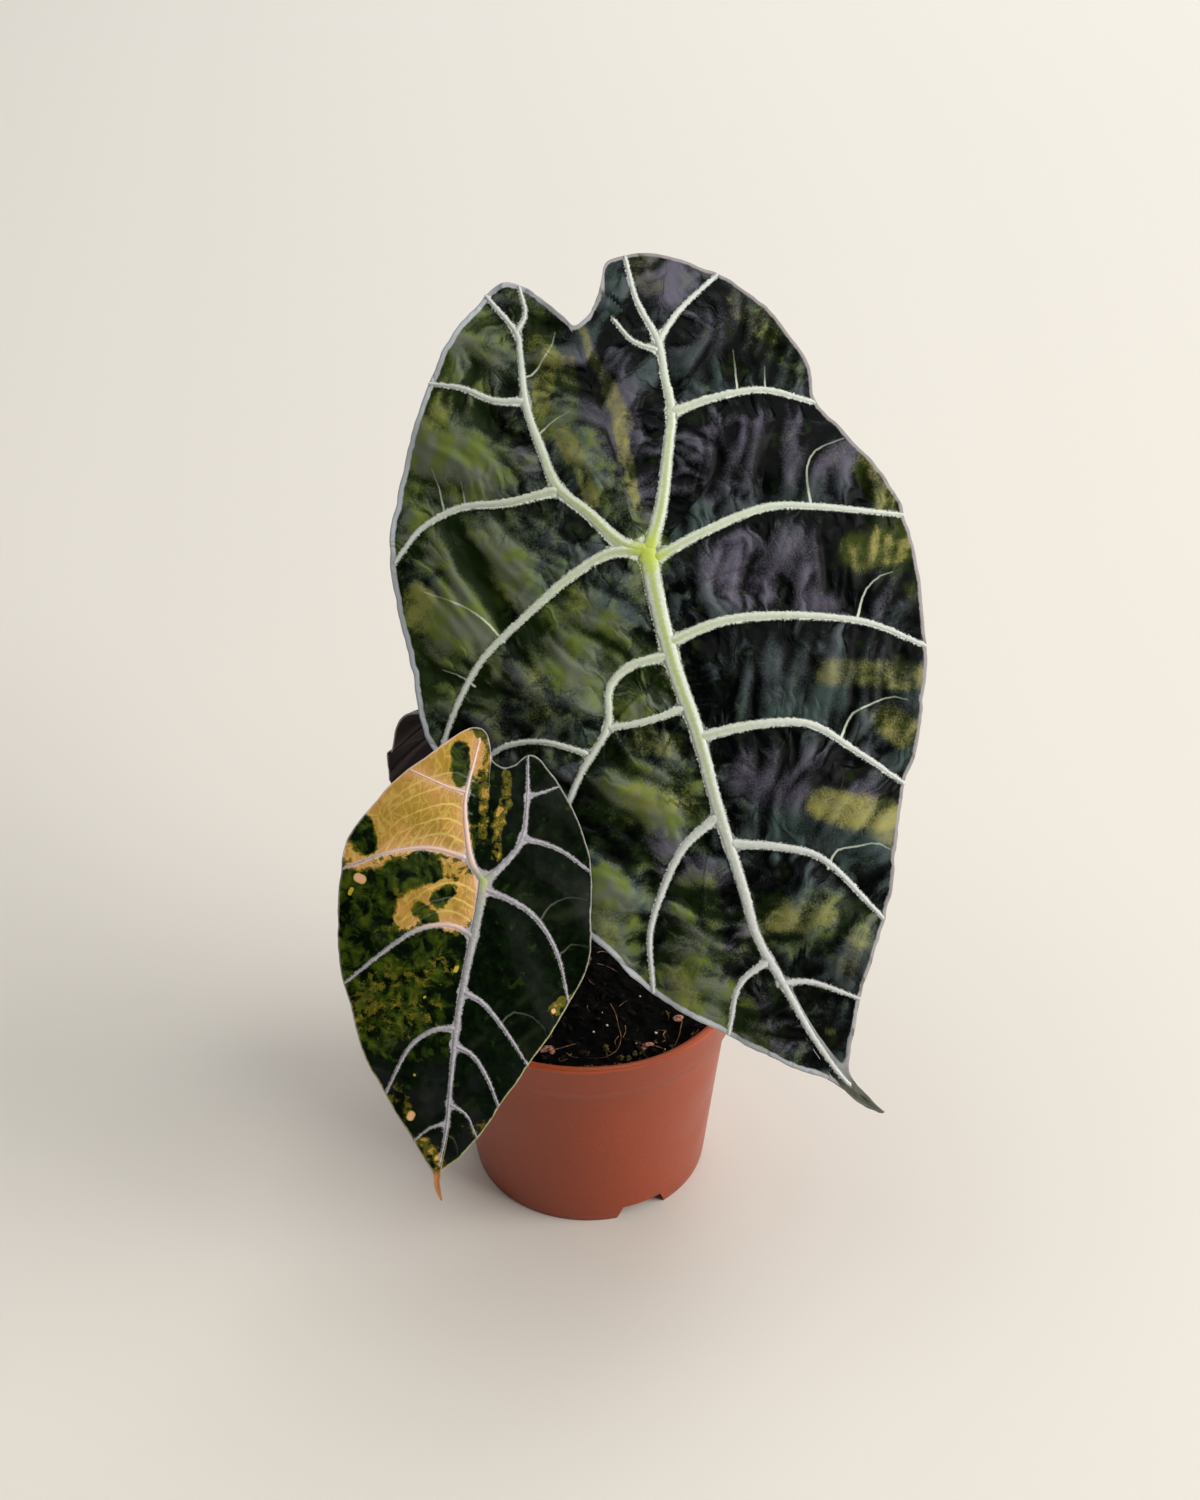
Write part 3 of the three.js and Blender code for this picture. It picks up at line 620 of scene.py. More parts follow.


# Large leaf
# The plant's main leaf, about 31 cm long: a leathery arrow-shaped blade, nearly black green
# with moss and gold variegation, stiffened by pale raised ribs and edged by a pale margin.
# A round stalk meets it from below at the hub, where all the main ribs start.

# The hub and the tip are in mm from the pot's axis. The rest is in mm from the hub, in the
# leaf's plane: x across, y from the tip to the lobes. A vein is (width at its root, width at
# its end, path), a patch (x, y, to x, y, radius, strength), a fold (width, length). Blush marks
# a painted plum sheen on the lit folds here, and pink spots on the small leaf.
LARGE = {
    "name": "large_leaf", "slot": "dark_leaf",
    "hub": (24.3, 0, 273.5), "tip": (85.4, -95.7, 120), "facing": (-0.02, -0.85, 0.52),
    "stalk_way": (-0.05, 0.42, -0.9), "stalk_radius": (4.4, 2.8), "socket": (3.5, 1),
    "arch": 11.9, "droop": 0.0021, "quilt": 2.6, "ruffle": 1.6, "ruffles": 9,
    "pucker": 1.2, "fold": 1.5, "folds": [(6.5, 22), (3.2, 15), (1.6, 6)], "wavy": 0.4,
    "worn": 0.1, "drip_tip": [(7, -201), (11.6, -207.4)],
    "around": 640, "rings": 100, "rings_under": 46,
    "outline": [
        (2, 82), (10, 86), (15, 92), (19, 99), (27, 100), (38, 96), (48, 89), (58, 79),
        (66, 66), (71, 52), (73, 41), (71, 30), (76, 17), (82, 3), (86, -13), (85, -30),
        (81, -48), (77, -64), (70, -78), (62, -94), (54, -104), (46, -119), (38, -136),
        (29, -149), (21, -160), (14, -171), (8, -182), (5, -190), (7.5, -199), (12, -208),
        (5, -202), (1, -195), (-4, -189), (-13, -181), (-25, -169), (-37, -156),
        (-50, -140), (-60, -120), (-73, -96), (-85, -68), (-92, -42), (-93, -27),
        (-90, -8), (-88, 14), (-84, 32), (-76, 47), (-66, 63), (-54, 79), (-41, 93),
        (-30, 100), (-19, 106), (-13, 104), (-6, 96), (-1, 87),
    ],
    "veins": [
        (6.6, 1.4, [(0, 2), (-3, -16), (-5, -40), (-5, -62), (-7, -88), (-8, -117),
                    (-9, -134), (-6, -152), (-3, -171), (1, -187), (4, -195)]),
        (5, 1.2, [(0, 0), (-8, 6), (-15, 19), (-22, 31), (-23, 45), (-23, 61), (-19, 80),
                  (-18, 87), (-23, 101)]),
        (1.8, 1, [(-18, 87), (-13, 92), (-12, 100)]),
        (2.6, 1.2, [(-23, 63), (-33, 67), (-42, 75), (-51, 80)]),
        (3.4, 1.3, [(-22, 30), (-40, 32), (-56, 36), (-71, 34), (-81, 28)]),
        (5, 1.2, [(0, 0), (9, 13), (17, 29), (23, 42), (25, 54), (27, 67), (25, 83),
                  (26, 96)]),
        (2.2, 1.2, [(27, 67), (38, 75), (53, 82)]),
        (1.8, 1, [(26, 64), (19, 70), (15, 80)]),
        (3.2, 1.3, [(23, 42), (38, 42), (55, 39), (69, 30)]),
        (3.6, 1.3, [(1, -3), (19, 0), (41, 1), (57, -4), (83, -16)]),
        (3.6, 1.3, [(-4, -31), (14, -30), (32, -34), (52, -42), (64, -49), (76, -60)]),
        (3.4, 1.3, [(-5, -64), (13, -66), (31, -72), (43, -86), (54, -101)]),
        (3, 1.2, [(-7, -101), (9, -108), (21, -117), (32, -140)]),
        (2.2, 1, [(-7, -152), (3, -155), (13, -163)]),
        (3.8, 1.3, [(-1, 0), (-12, 4), (-28, 1), (-48, -7), (-65, -15), (-78, -26),
                    (-90, -40)]),
        (3.2, 1.2, [(-5, -35), (-19, -34), (-28, -39), (-33, -51), (-46, -62), (-58, -75),
                    (-74, -91)]),
        (2.4, 1.8, [(-6, -53), (-20, -53), (-33, -51)]),
        (1.8, 1, [(-42, -57), (-56, -48), (-71, -46), (-86, -54)]),
        (3, 1.2, [(-8, -91), (-22, -97), (-34, -109), (-43, -122), (-48, -139)]),
        (2.4, 1.1, [(-8, -143), (-20, -148), (-28, -161)]),
    ],
    "fine_veins": [
        (0.6, 0.2, [(-21, 71), (-17, 71), (-13, 74), (-8, 78), (-6, 81)]),
        (0.5, 0.16, [(-21, 51), (-16, 53), (-11, 54)]),
        (0.5, 0.16, [(-62, 36), (-61, 44), (-61, 51)]),
        (0.45, 0.16, [(-54, 36), (-53, 43)]),
        (0.5, 0.16, [(47, 42), (50, 54)]),
        (0.45, 0.16, [(56, 39), (58, 45)]),
        (0.6, 0.2, [(57, -3), (58, 3), (60, 9), (64, 13), (69, 14), (74, 14)]),
        (0.6, 0.2, [(59, -44), (64, -37), (70, -34), (74, -34)]),
        (0.6, 0.2, [(40, -80), (46, -74), (53, -73), (60, -73), (64, -75)]),
        (0.6, 0.2, [(22, -119), (26, -115), (33, -116), (39, -117), (42, -120)]),
        (0.5, 0.2, [(-57, -11), (-61, -2), (-67, 5), (-72, 9), (-76, 12)]),
        (0.5, 0.2, [(-72, -22), (-75, -18), (-79, -15)]),
    ],
    "gold": [
        (4, 80, 4, 70, 2, 0.6), (4, 70, 6, 59, 2.6, 0.6), (6, 57, 7, 44, 4, 0.66),
        (5, 45, 3, 33, 3, 0.72), (4, 33, 2, 22, 2.6, 0.72), (2, 22, 1, 15, 2.4, 0.6),
        (-13, 83, -13, 79, 4, 0.5), (-10, 75, -19, 59, 4.5, 0.75), (-5, 71, -6, 65, 4, 0.5),
        (-14, 47, -13, 38, 4.5, 0.65), (-12, 34, -13, 22, 3.5, 0.6), (-51, 73, -55, 69, 6, 0.65),
        (-80, 11, -83, 5, 7, 0.95), (-53, 4, -53, -2, 4, 0.55), (-28, -2, -29, -8, 4, 0.6),
        (79, 2, 84, -14, 6, 0.6), (67, -24, 82, -26, 8, 1.1), (81, -14, 80, -23, 5, 0.6),
        (63, 61, 64, 57, 6, 0.5), (58, 72, 58, 66, 5, 0.4), (31, 96, 31, 88, 6, 0.4),
        (79, -40, 79, -43, 3, 0.55), (43, -58, 70, -69, 6, 0.6), (57, -80, 60, -86, 7, 0.65),
        (27, -99, 45, -110, 7, 0.95), (38, -111, 44, -116, 4, 0.5), (-23, -58, -15, -63, 6, 0.55),
        (-33, -75, -17, -82, 6, 0.6), (-2, -131, 14, -133, 7, 0.6), (-39, -138, -38, -147, 5, 0.6),
        (-56, -108, -57, -117, 6, 0.5), (-51, -26, -51, -38, 5, 0.45), (-41, -81, -37, -84, 3, 0.45),
        (3, -173, 4, -174, 2, 0.8), (16, -154, 24, -144, 5, 0.4),
    ],
    "moss": [
        (-37, -16, -19, -40, 16, 0.9), (-64, 9, -71, -22, 12, 0.65), (-33, -73, -17, -83, 12, 0.6),
        (-4, -131, 23, -138, 12, 0.6), (-39, -139, -26, -164, 12, 0.6), (-51, -101, -56, -123, 9, 0.6),
        (-37, 91, -54, 61, 18, 0.65), (-52, 14, -79, -13, 16, 0.6), (-66, 53, -45, 47, 14, 0.6),
        (-11, 95, -15, 55, 10, 0.55), (85, 3, 80, -32, 10, 0.55), (64, 63, 70, 48, 12, 0.4),
        (-10, 45, 2, 3, 8, 0.5), (1, 2, -5, -10, 8, 0.7), (-68, 30, -50, 16, 13, 0.9),
        (-24, -112, -28, -134, 9, 0.4), (-26, -150, -20, -166, 6, 0.6),
        (-8, -150, 0, -164, 7, 0.3),
    ],
    "blush_and_sheen": [
        (4, 62, 8, 20, 14, 0.7), (29, 26, 72, 16, 18, 0.8), (28, -14, 61, -32, 18, 0.8),
        (38, 89, 50, 66, 12, 0.7), (-35, 54, -28, 46, 10, 0.5), (10, -80, 40, -96, 14, 0.7),
        (-30, -95, -20, -120, 12, 0.7), (-50, -70, -40, -78, 10, 0.6), (-62, -26, -76, -44, 12, 0.5),
        (-22, -116, -20, -130, 13, 1), (-18, -148, -10, -166, 12, 1),
    ],
}


def leaf_axes(leaf):
    """A leaf's hub and its three directions: across, along towards the lobes, and outward."""
    hub = Vector(leaf["hub"])
    along = (hub - Vector(leaf["tip"])).normalized()
    facing = Vector(leaf["facing"])
    outward = (facing - along * facing.dot(along)).normalized()
    return hub, along.cross(outward), along, outward


def from_leaf(leaf, points):
    """Leaf millimetres to the plant's own metres."""
    hub, across, along, outward = (np.array(v) for v in leaf_axes(leaf))
    points = np.asarray(points, float)
    placed = hub + points[:, :1] * across + points[:, 1:2] * along + points[:, 2:3] * outward
    return placed / 1000 + np.array([pot_x, pot_y, 0])


def stalk_line(leaf):
    """The stalk's middle line: up out of the crown, then over to the hub."""
    foot_height, knee_length = 89.5, 8.3
    foot = Vector((crown_x + leaf["socket"][0], crown_y + leaf["socket"][1], foot_height))
    way = Vector(leaf["stalk_way"]).normalized()
    hub = Vector(leaf["hub"])
    head = hub + way * knee_length
    length = (head - foot).length
    steps = np.linspace(0, 1, 90)[:, None]
    rising, arriving = length * 0.42, length * 0.33
    pulls = [foot, foot + Vector((0, 0, rising)), head + way * arriving, head]
    a, b, c, d = (np.array(p) for p in pulls)
    line = (a * (1 - steps) ** 3 + 3 * b * steps * (1 - steps) ** 2
            + 3 * c * steps**2 * (1 - steps) + d * steps**3)
    knee = np.array([head + (hub - head) * part for part in (0.25, 0.5, 0.75, 0.95)])
    return np.vstack([line, knee])


def store(piece, name, *columns):
    """Keeps three numbers at each point of a piece, for its material to read."""
    layer = piece.data.attributes.new(name, "FLOAT_VECTOR", "POINT")
    layer.data.foreach_set("vector", np.column_stack(columns).ravel())


def grow_stalk(leaf, sides=28):
    """The stalk: stout and sheathed at its foot, slim above, thicker again at its knee."""
    line = smooth_line(stalk_line(leaf), spacing=1.2)
    foot, head = leaf["stalk_radius"]
    u = np.linspace(0, 1, len(line))
    gone = u * np.linalg.norm(np.diff(line, axis=0), axis=1).sum()
    radius = head + (foot - head) * (1 - u) ** 1.4
    left = gone[-1] - gone
    radius = radius * (1 + 0.1 * np.exp(-(((left - 9) / 7) ** 2)) + 0.012 * np.sin(gone * 0.45))
    points, faces = tube(line, radius, sides, up=(0, 1, 0))
    points = points / 1000 + np.array([pot_x, pot_y, 0])
    stalk = mesh_piece(leaf["name"] + "_stem", [(points, faces)])
    turn = np.tile(once_round(sides), len(line))
    store(stalk, "climb", np.repeat(gone, sides), np.cos(turn), np.sin(turn))
    settle(stalk, leaf["name"] + "_stem", "stalk", leaf["name"] + "_stalk")
    coat(stalk, stalk_skin)


def cloud_field(x, y, size, seed):
    """A smooth random field over the leaf, about -1 to 1, with lumps of about one size."""
    table = np.random.default_rng(seed).uniform(-1, 1, (64, 64))
    u, v = x / size + 31.7, y / size + 29.3
    i, j = np.floor(u).astype(int), np.floor(v).astype(int)
    fu, fv = u - i, v - j
    fu, fv = fu * fu * (3 - 2 * fu), fv * fv * (3 - 2 * fv)

    def at(a, b):
        return table[a % 64, b % 64]
    low = at(i, j) * (1 - fu) + at(i + 1, j) * fu
    high = at(i, j + 1) * (1 - fu) + at(i + 1, j + 1) * fu
    return low * (1 - fv) + high * fv


def soft_step(value, low, high):
    """0 below low, 1 above high, smooth between."""
    t = np.clip((value - low) / (high - low), 0, 1)
    return t * t * (3 - 2 * t)


def vein_lines(veins, margin=None):
    """Each vein as even points with its half width at each. One that ends near the margin
    is carried on to it."""
    lines = []
    for root, end, path in veins:
        line = smooth_line(path, spacing=3.0)
        if margin is not None:
            gap = np.hypot(*(margin - line[-1]).T).min()
            if gap < 7:
                ahead = line[-1] - line[-3]
                line = np.vstack([line, line[-1] + ahead / np.linalg.norm(ahead) * (gap + 0.3)])
                line = smooth_line(line, spacing=3.0)
        u = np.linspace(0, 1, len(line))
        lines.append((line, (root + (end - root) * u**0.8) / 2))
    return lines


def near_veins(lines, x, y):
    """For each place: the offset to the side of the nearest vein, the distance to it, its
    half width there, the gap to the veins' edges, rounded where two of them meet, how far
    the place is below its vein rather than above, from 1 to -1, and how far along it."""
    best = np.full(x.shape, 1e6)
    side, half, merged, below, along = (np.zeros(x.shape) for _ in range(5))
    for number, (line, halves) in enumerate(lines):
        gone, far = 60.0 * number, np.zeros(x.shape)
        near = np.full(x.shape, 1e6)
        beside, wide, under = np.zeros(x.shape), np.zeros(x.shape), np.zeros(x.shape)
        for (ax, ay), (bx, by), ha, hb in zip(line, line[1:], halves, halves[1:]):
            dx, dy = bx - ax, by - ay
            length = math.hypot(dx, dy)
            t = np.clip(((x - ax) * dx + (y - ay) * dy) / length**2, 0, 1)
            ox, oy = x - ax - t * dx, y - ay - t * dy
            distance = np.hypot(ox, oy)
            closer = distance < near
            near = np.where(closer, distance, near)
            beside = np.where(closer, (ox * dy - oy * dx) / length, beside)
            under = np.where(closer, -oy, under)
            far = np.where(closer, gone + t * length, far)
            gone += length
            wide = np.where(closer, ha + t * (hb - ha), wide)
        nearer = near - wide < best - half
        best = np.where(nearer, near, best)
        side = np.where(nearer, beside, side)
        below = np.where(nearer, under / (near + 0.5), below)
        along = np.where(nearer, far, along)
        half = np.where(nearer, wide, half)
        merged += np.exp(np.minimum(wide - near, 30) / 0.9)
    return side, best, half, -0.9 * np.log(merged + 1e-12), below, along


def drawn_folds(ribs, margin, sizes):
    """Puckers drawn out away from the nearest veins. Gives a lookup of their heights, about
    -1 to 1, with one set for each (width, length) in mm."""
    cell = 0.55
    low = margin.min(axis=0) - 3
    count = np.ceil((margin.max(axis=0) + 3 - low) / cell).astype(int) + 1
    x, y = np.meshgrid(low[0] + cell * np.arange(count[0]), low[1] + cell * np.arange(count[1]))
    twice = 0.002 * np.exp(0.5j * math.pi * np.sign(x))
    for line, _ in ribs:
        near, way = np.full(x.shape, 1e6), np.zeros(x.shape, complex)
        for (ax, ay), (bx, by) in zip(line, line[1:]):
            dx, dy = bx - ax, by - ay
            t = np.clip(((x - ax) * dx + (y - ay) * dy) / (dx * dx + dy * dy), 0, 1)
            distance = np.hypot(x - ax - t * dx, y - ay - t * dy)
            way = np.where(distance < near, (dy - 1j * dx) ** 2 / (dx * dx + dy * dy), way)
            near = np.minimum(near, distance)
        twice = twice + way / (near + 1.5) ** 2.5
    twice = twice / np.abs(twice) * np.exp(1j * cloud_field(x, y, 17, 21))

    def drawn(width, length, seed):
        total = np.zeros(x.shape)
        steps = max(6, int(length))
        for sign in (1, -1):
            px, py, way = x.copy(), y.copy(), sign * np.sqrt(twice)
            for step in range(steps):
                total += (1 - step / steps) * cloud_field(px, py, width, seed)
                row = np.clip(((py - low[1]) / cell).astype(int), 0, count[1] - 1)
                column = np.clip(((px - low[0]) / cell).astype(int), 0, count[0] - 1)
                turned = np.sqrt(twice[row, column])
                way = turned * np.where((turned * way.conj()).real < 0, -1, 1)
                px, py = px + way.real, py + way.imag
        return total / (2 * total.std())

    heights = [drawn(width, length, 30 + n) for n, (width, length) in enumerate(sizes)]

    def at(px, py):
        u, v = (px - low[0]) / cell, (py - low[1]) / cell
        i = np.clip(u.astype(int), 0, count[0] - 2)
        j = np.clip(v.astype(int), 0, count[1] - 2)
        fu, fv = u - i, v - j
        return [
            (h[j, i] * (1 - fu) + h[j, i + 1] * fu) * (1 - fv)
            + (h[j + 1, i] * (1 - fu) + h[j + 1, i + 1] * fu) * fv for h in heights
        ]
    return at


def patches(spots, x, y):
    """How strongly the soft patches (from x, y, to x, y, radius, strength) colour a place."""
    amount = np.zeros(x.shape)
    for ax, ay, bx, by, radius, strength in spots:
        dx, dy = bx - ax, by - ay
        t = np.clip(((x - ax) * dx + (y - ay) * dy) / max(dx * dx + dy * dy, 1e-6), 0, 1)
        distance = np.hypot(x - ax - t * dx, y - ay - t * dy)
        amount = np.maximum(amount, strength * (1 - soft_step(distance / radius, 0.45, 1.25)))
    return amount


def grow_blade(leaf, top, under):
    """The blade: a closed sheet, finer on its upper face, with the leaf's form and relief.
    Gives a lookup of its upper face's height, and the lines of its ribs."""
    length = (Vector(leaf["hub"]) - Vector(leaf["tip"])).length
    middle = smooth_line(leaf["veins"][0][2] + leaf["drip_tip"], spacing=2.0)
    order = np.argsort(middle[:, 1])

    def middle_at(y):
        return np.interp(y, middle[order, 1], middle[order, 0], right=0.0)

    closed = leaf["outline"] + leaf["outline"][:3]
    margin = smooth_line(closed, spacing=0.4)
    start = np.argmin(np.hypot(*(margin[: len(margin) // 4] - leaf["outline"][1]).T))
    stop = len(margin) // 2 + np.argmin(
        np.hypot(*(margin[len(margin) // 2:] - leaf["outline"][1]).T)
    )
    margin = margin[start:stop]
    at = np.linspace(0, distances(margin)[-1], leaf["around"], endpoint=False)
    margin = points_at(margin, at)
    edge = np.roll(margin, -1, axis=0) - np.roll(margin, 1, axis=0)
    edge /= np.linalg.norm(edge, axis=1)[:, None]
    nibble = cloud_field(at, 0 * at, 5.5, 12) + 0.5 * cloud_field(at, 0 * at, 2.4, 13)
    nibble = leaf["wavy"] * nibble
    margin = margin + nibble[:, None] * np.column_stack([edge[:, 1], -edge[:, 0]])
    ribs = vein_lines(leaf["veins"][:1]) + vein_lines(leaf["veins"][1:], margin)
    fine = vein_lines(leaf["fine_veins"])
    folds_at = drawn_folds(ribs, margin, leaf["folds"])

    def ringed(out):
        y = margin[:, 1] * out
        return (margin[:, 0] - middle_at(margin[:, 1])) * out + middle_at(y), y

    step = 0.03
    inner_x, inner_y = ringed(1 - step)
    step_in = np.abs((margin[:, 0] - inner_x) * edge[:, 1] - (margin[:, 1] - inner_y) * edge[:, 0])
    reach = step_in / step

    def face(rings, sign):
        outs = (np.arange(1, rings + 1) / rings) ** 0.8
        xs, ys, ins, rim = [0.0], [0.0], [0.0], [50.0]
        for out in outs:
            x, y = ringed(out)
            xs.extend(x)
            ys.extend(y)
            ins.extend([out] * len(x))
            rim.extend((1 - out) * reach)
        x, y, out, rim = (np.array(v, float) for v in (xs, ys, ins, rim))
        side, near, half, gap, below, along = near_veins(ribs, x, y)
        clear = np.maximum(near - 0.8 * half, 0)

        # The whole blade's arch and droop, the swell between its ribs, its ruffled margin
        z = (-4 * leaf["arch"] * y * (y + length) / length**2 - leaf["droop"] * x * x
             + leaf["quilt"] * (1 - np.exp(-((clear / 9) ** 2)))
             + leaf["ruffle"] * np.sin(leaf["ruffles"] * np.arctan2(x, y)) * out**4)

        # Puckers and folds, which fade towards the ribs and the margin
        broad, tight, close = folds_at(x, y)
        inside = soft_step(rim, 0.8, 8.0)
        z = z + inside * soft_step(gap, 0.5, 8.0) * (
            leaf["pucker"] * cloud_field(x, y, 19, 4) + leaf["fold"] * broad
        )
        ripple = np.maximum(0.55 * tight + 0.2 * close, -0.6) if sign > 0 else -0.35
        z = z + inside * soft_step(gap, 0.2, 3.0) * leaf["fold"] * ripple
        for at_x, at_y, wide, lift in leaf.get("bulges", []):
            z = z + lift * np.exp(-((x - at_x) ** 2 + (y - at_y) ** 2) / wide**2)

        # Painted shade and light: how far a place stands out of the shade of the folds and ribs
        # around it, for the upper face's colour. It is lighter on the fold crests and darker beside
        # the ribs, most of all below them.
        beside = np.exp(-np.maximum(gap, 0) / 6)
        painted_fold_shading = 0.6 * broad + 0.6 * tight + 0.2 * close
        painted_fold_shading = painted_fold_shading * soft_step(gap, -0.5, 1.5) - (0.25 + 0.7 * below) * beside + 0.15

        # The sheet thins towards its margin and ends in a fine bead
        half_thick, thinner = 0.34, 0.14
        bead = 0.28 * np.exp(-((rim / 0.9) ** 2))
        z = z + sign * (half_thick - thinner * np.exp(-((rim / 1.2) ** 2)) + bead * 0.6)
        return x, y, z, out, rim, side, along, gap, painted_fold_shading

    upper, lower = face(leaf["rings"], 1), face(leaf["rings_under"], -1)
    around = leaf["around"]
    count = len(upper[0])
    columns = [np.concatenate([a, b]) for a, b in zip(upper, lower)]
    x, y, z, out, rim, side, along, gap, painted_fold_shading = columns
    faces = []
    for base, rings, flip in ((0, leaf["rings"], False), (count, leaf["rings_under"], True)):
        ring_at = [base + 1 + ring * around for ring in range(rings)]
        for k in range(around):
            n = (k + 1) % around
            first = (base, ring_at[0] + n, ring_at[0] + k)
            faces.append(first[::-1] if flip else first)
            for a, b in zip(ring_at, ring_at[1:]):
                quad = (a + k, a + n, b + n, b + k)
                faces.append(quad[::-1] if flip else quad)
    top_edge, under_edge = count - around, len(x) - around
    for k in range(around):
        n = (k + 1) % around
        faces.append((top_edge + k, top_edge + n, under_edge + n, under_edge + k))
    blade = mesh_piece(
        leaf["name"] + "_sheet", [(from_leaf(leaf, np.column_stack([x, y, z])), faces)]
    )
    fine_side, _, fine_half, fine_gap, _, _ = near_veins(fine, x, y)
    store(blade, "place", x, y, out)
    store(blade, "rib", side, gap, along)
    store(blade, "fine", fine_side, fine_gap, fine_half)
    # The relief numbers are the distance in from the margin and the painted fold shading
    store(blade, "relief", rim, painted_fold_shading, 0 * rim)
    store(blade, "tone", *(patches(leaf[tone], x, y) for tone in ("gold", "moss", "blush_and_sheen")))
    coat(blade, top, under)
    first_under = around * leaf["rings"]
    last_under = first_under + around * leaf["rings_under"]
    index = np.zeros(len(faces), int)
    index[first_under:last_under] = 1
    blade.data.polygons.foreach_set("material_index", index)
    settle(blade, leaf["name"] + "_sheet", leaf["slot"], leaf["name"] + "_blade")

    tree = KDTree(count)
    for number in range(count):
        tree.insert((x[number], y[number], 0), number)
    tree.balance()

    def surface_at(px, py):
        """Height of the sheet's upper face at places in the leaf's plane."""
        heights = []
        for a, b in zip(px, py):
            close = tree.find_n((a, b, 0), 4)
            pull = [1 / (found[2] + 0.05) for found in close]
            heights.append(sum(w * z[found[1]] for w, found in zip(pull, close)) / sum(pull))
        return np.array(heights)

    return surface_at, ribs


def grow_ribs(leaf, surface_at, ribs, top, under):
    """The main veins: low rounded ribs, proud of the upper face and deeper underneath."""
    parts, tags, spots, slots = [], [], [], []
    sides = 14
    worn = np.random.default_rng(5)
    for line, halves in ribs:
        fine = smooth_line(line, spacing=0.6)
        u = np.linspace(0, 1, len(fine))
        half = np.interp(u, np.linspace(0, 1, len(halves)), halves)
        z = surface_at(fine[:, 0], fine[:, 1])
        z = np.convolve(np.pad(z, 4, mode="edge"), np.ones(9) / 9, mode="valid") - 0.14
        gone = np.arange(len(fine)) * np.hypot(*(fine[1] - fine[0]))
        ends = np.minimum(gone, gone[-1] - gone) / (0.9 * half)
        half = half * np.sqrt(1 - (1 - np.clip(ends, 0.02, 1)) ** 2)
        spine = np.column_stack([fine, z])
        spikes = worn.random((2, len(fine))) < 0.5 * leaf["worn"]
        teeth = (worn.normal(0, 1, (2, len(fine))) + 4.5 * spikes) * leaf["worn"]
        teeth = teeth * np.clip(ends, 0, 1)

        def section(turn, half=half, teeth=teeth):
            above = np.sin(turn) > 0
            high = np.where(above, (0.3 + 0.2 * half)[:, None] * np.abs(np.sin(turn)) ** 1.3,
                            (0.9 + 0.6 * half)[:, None] * np.sin(turn))
            ragged = np.where(np.cos(turn) > 0, teeth[0][:, None], teeth[1][:, None])
            return (half[:, None] + ragged * np.abs(np.cos(turn))) * np.cos(turn), high
        points, faces = tube(spine, half, sides, section=section)
        parts.append((from_leaf(leaf, points), faces))
        turn = np.tile(once_round(sides), len(fine))
        from_hub = np.hypot(fine[:, 0], fine[:, 1])
        tags.append(np.column_stack([
            np.cos(turn), np.repeat(from_hub, sides), np.repeat(half, sides)
        ]))
        spots.append(np.repeat(spine, sides, axis=0))
        around = [0 if math.sin(2 * math.pi * (k + 0.5) / sides) > 0 else 1 for k in range(sides)]
        slots += around * (len(fine) - 1) + [0, 0]
    ribs = mesh_piece(leaf["name"] + "_ribs", parts)
    store(ribs, "place", np.vstack(spots))
    store(ribs, "tag", np.vstack(tags))
    coat(ribs, top, under)
    ribs.data.polygons.foreach_set("material_index", slots)
    settle(ribs, leaf["name"] + "_ribs", leaf["slot"])


def attribute(owner, name):
    """What store kept under a name: the three numbers together, then each alone."""
    vector = node(owner, "Attribute", attribute_name=name).outputs["Vector"]
    parts = node(owner, "SeparateXYZ", {0: vector}).outputs
    return vector, parts[0], parts[1], parts[2]


def vein_paint(colour, pale, thread, edge_pale, spur, rim_width, sway):
    """Lays the pale veins, their feathered edges and the pale margin over a blade's colour."""
    place = attribute(colour, "place")[0]
    gap = attribute(colour, "rib")[2]
    _, fine_side, fine_gap, fine_half = attribute(colour, "fine")
    rim = attribute(colour, "relief")[1]
    teeth = minus(speckle(place, 1.5, 4, 0.8), 0.47)
    gap = minus(gap, times(teeth, spur))
    wander = times(minus(speckle(place, 1.5, 2), 0.5), 0.4)
    drift = times(minus(speckle(place, 0.3, 3), 0.5), sway)
    thin = minus(calc("ABSOLUTE", plus(fine_side, drift)), fine_half)
    thin = ramp(plus(thin, wander), 0.25, 0.0)
    thin = times(thin, ramp(fine_gap, 1.8, 1.1))
    thin = times(thin, ramp(fine_half, 0.05, 0.26, 0.15, 0.9))
    colour = blend(thin, colour, thread)
    colour = blend(ramp(gap, 0.3, -0.15), colour, pale)
    banded = plus(rim, (speckle(place, 0.5, 3), 0.9))
    band = ramp(minus(banded, rim_width), 0.75, 0.2)
    return blend(band, colour, edge_pale)


def drawn_creases(surface):
    """Creases that run out from the ribs, lean and fade on the way."""
    _, side, gap, along = attribute(surface, "rib")
    place = attribute(surface, "place")[0]
    leaning = plus(along, (minus(speckle(place, 0.06, 2), 0.5), 22))
    across = node(surface, "CombineXYZ", {0: leaning, 1: times(side, 0.45)}).outputs[0]
    folded = minus(speckle(across, 0.14, 1.6, 0.5), 0.5)
    sharp = minus(calc("ABSOLUTE", folded), 0.1)
    return times(plus(sharp, (folded, 0.6)), ramp(gap, 17, 3))


stalk_skin, surface = finish("stalk_skin", 0.42)
_, climb, round_x, round_y = attribute(surface, "climb")
where = position(surface)
long_grain = {0: times(climb, 0.06), 1: round_x, 2: round_y}
lines = speckle(node(surface, "CombineXYZ", long_grain).outputs[0], 5, 4, 0.6)
bars = speckle(where, 330, 3, 0.6, 1.2)
colour = blend(ramp(lines, 0.35, 0.7), (122, 142, 84), (160, 172, 116))
colour = blend(ramp(bars, 0.55, 0.66, 0, 0.55), colour, (92, 74, 60))
colour = blend(ramp(climb, 26, 2, 0, 0.75), colour, (150, 118, 98))
lay_on(surface, colour, (lines, 0.35, 0.0004))

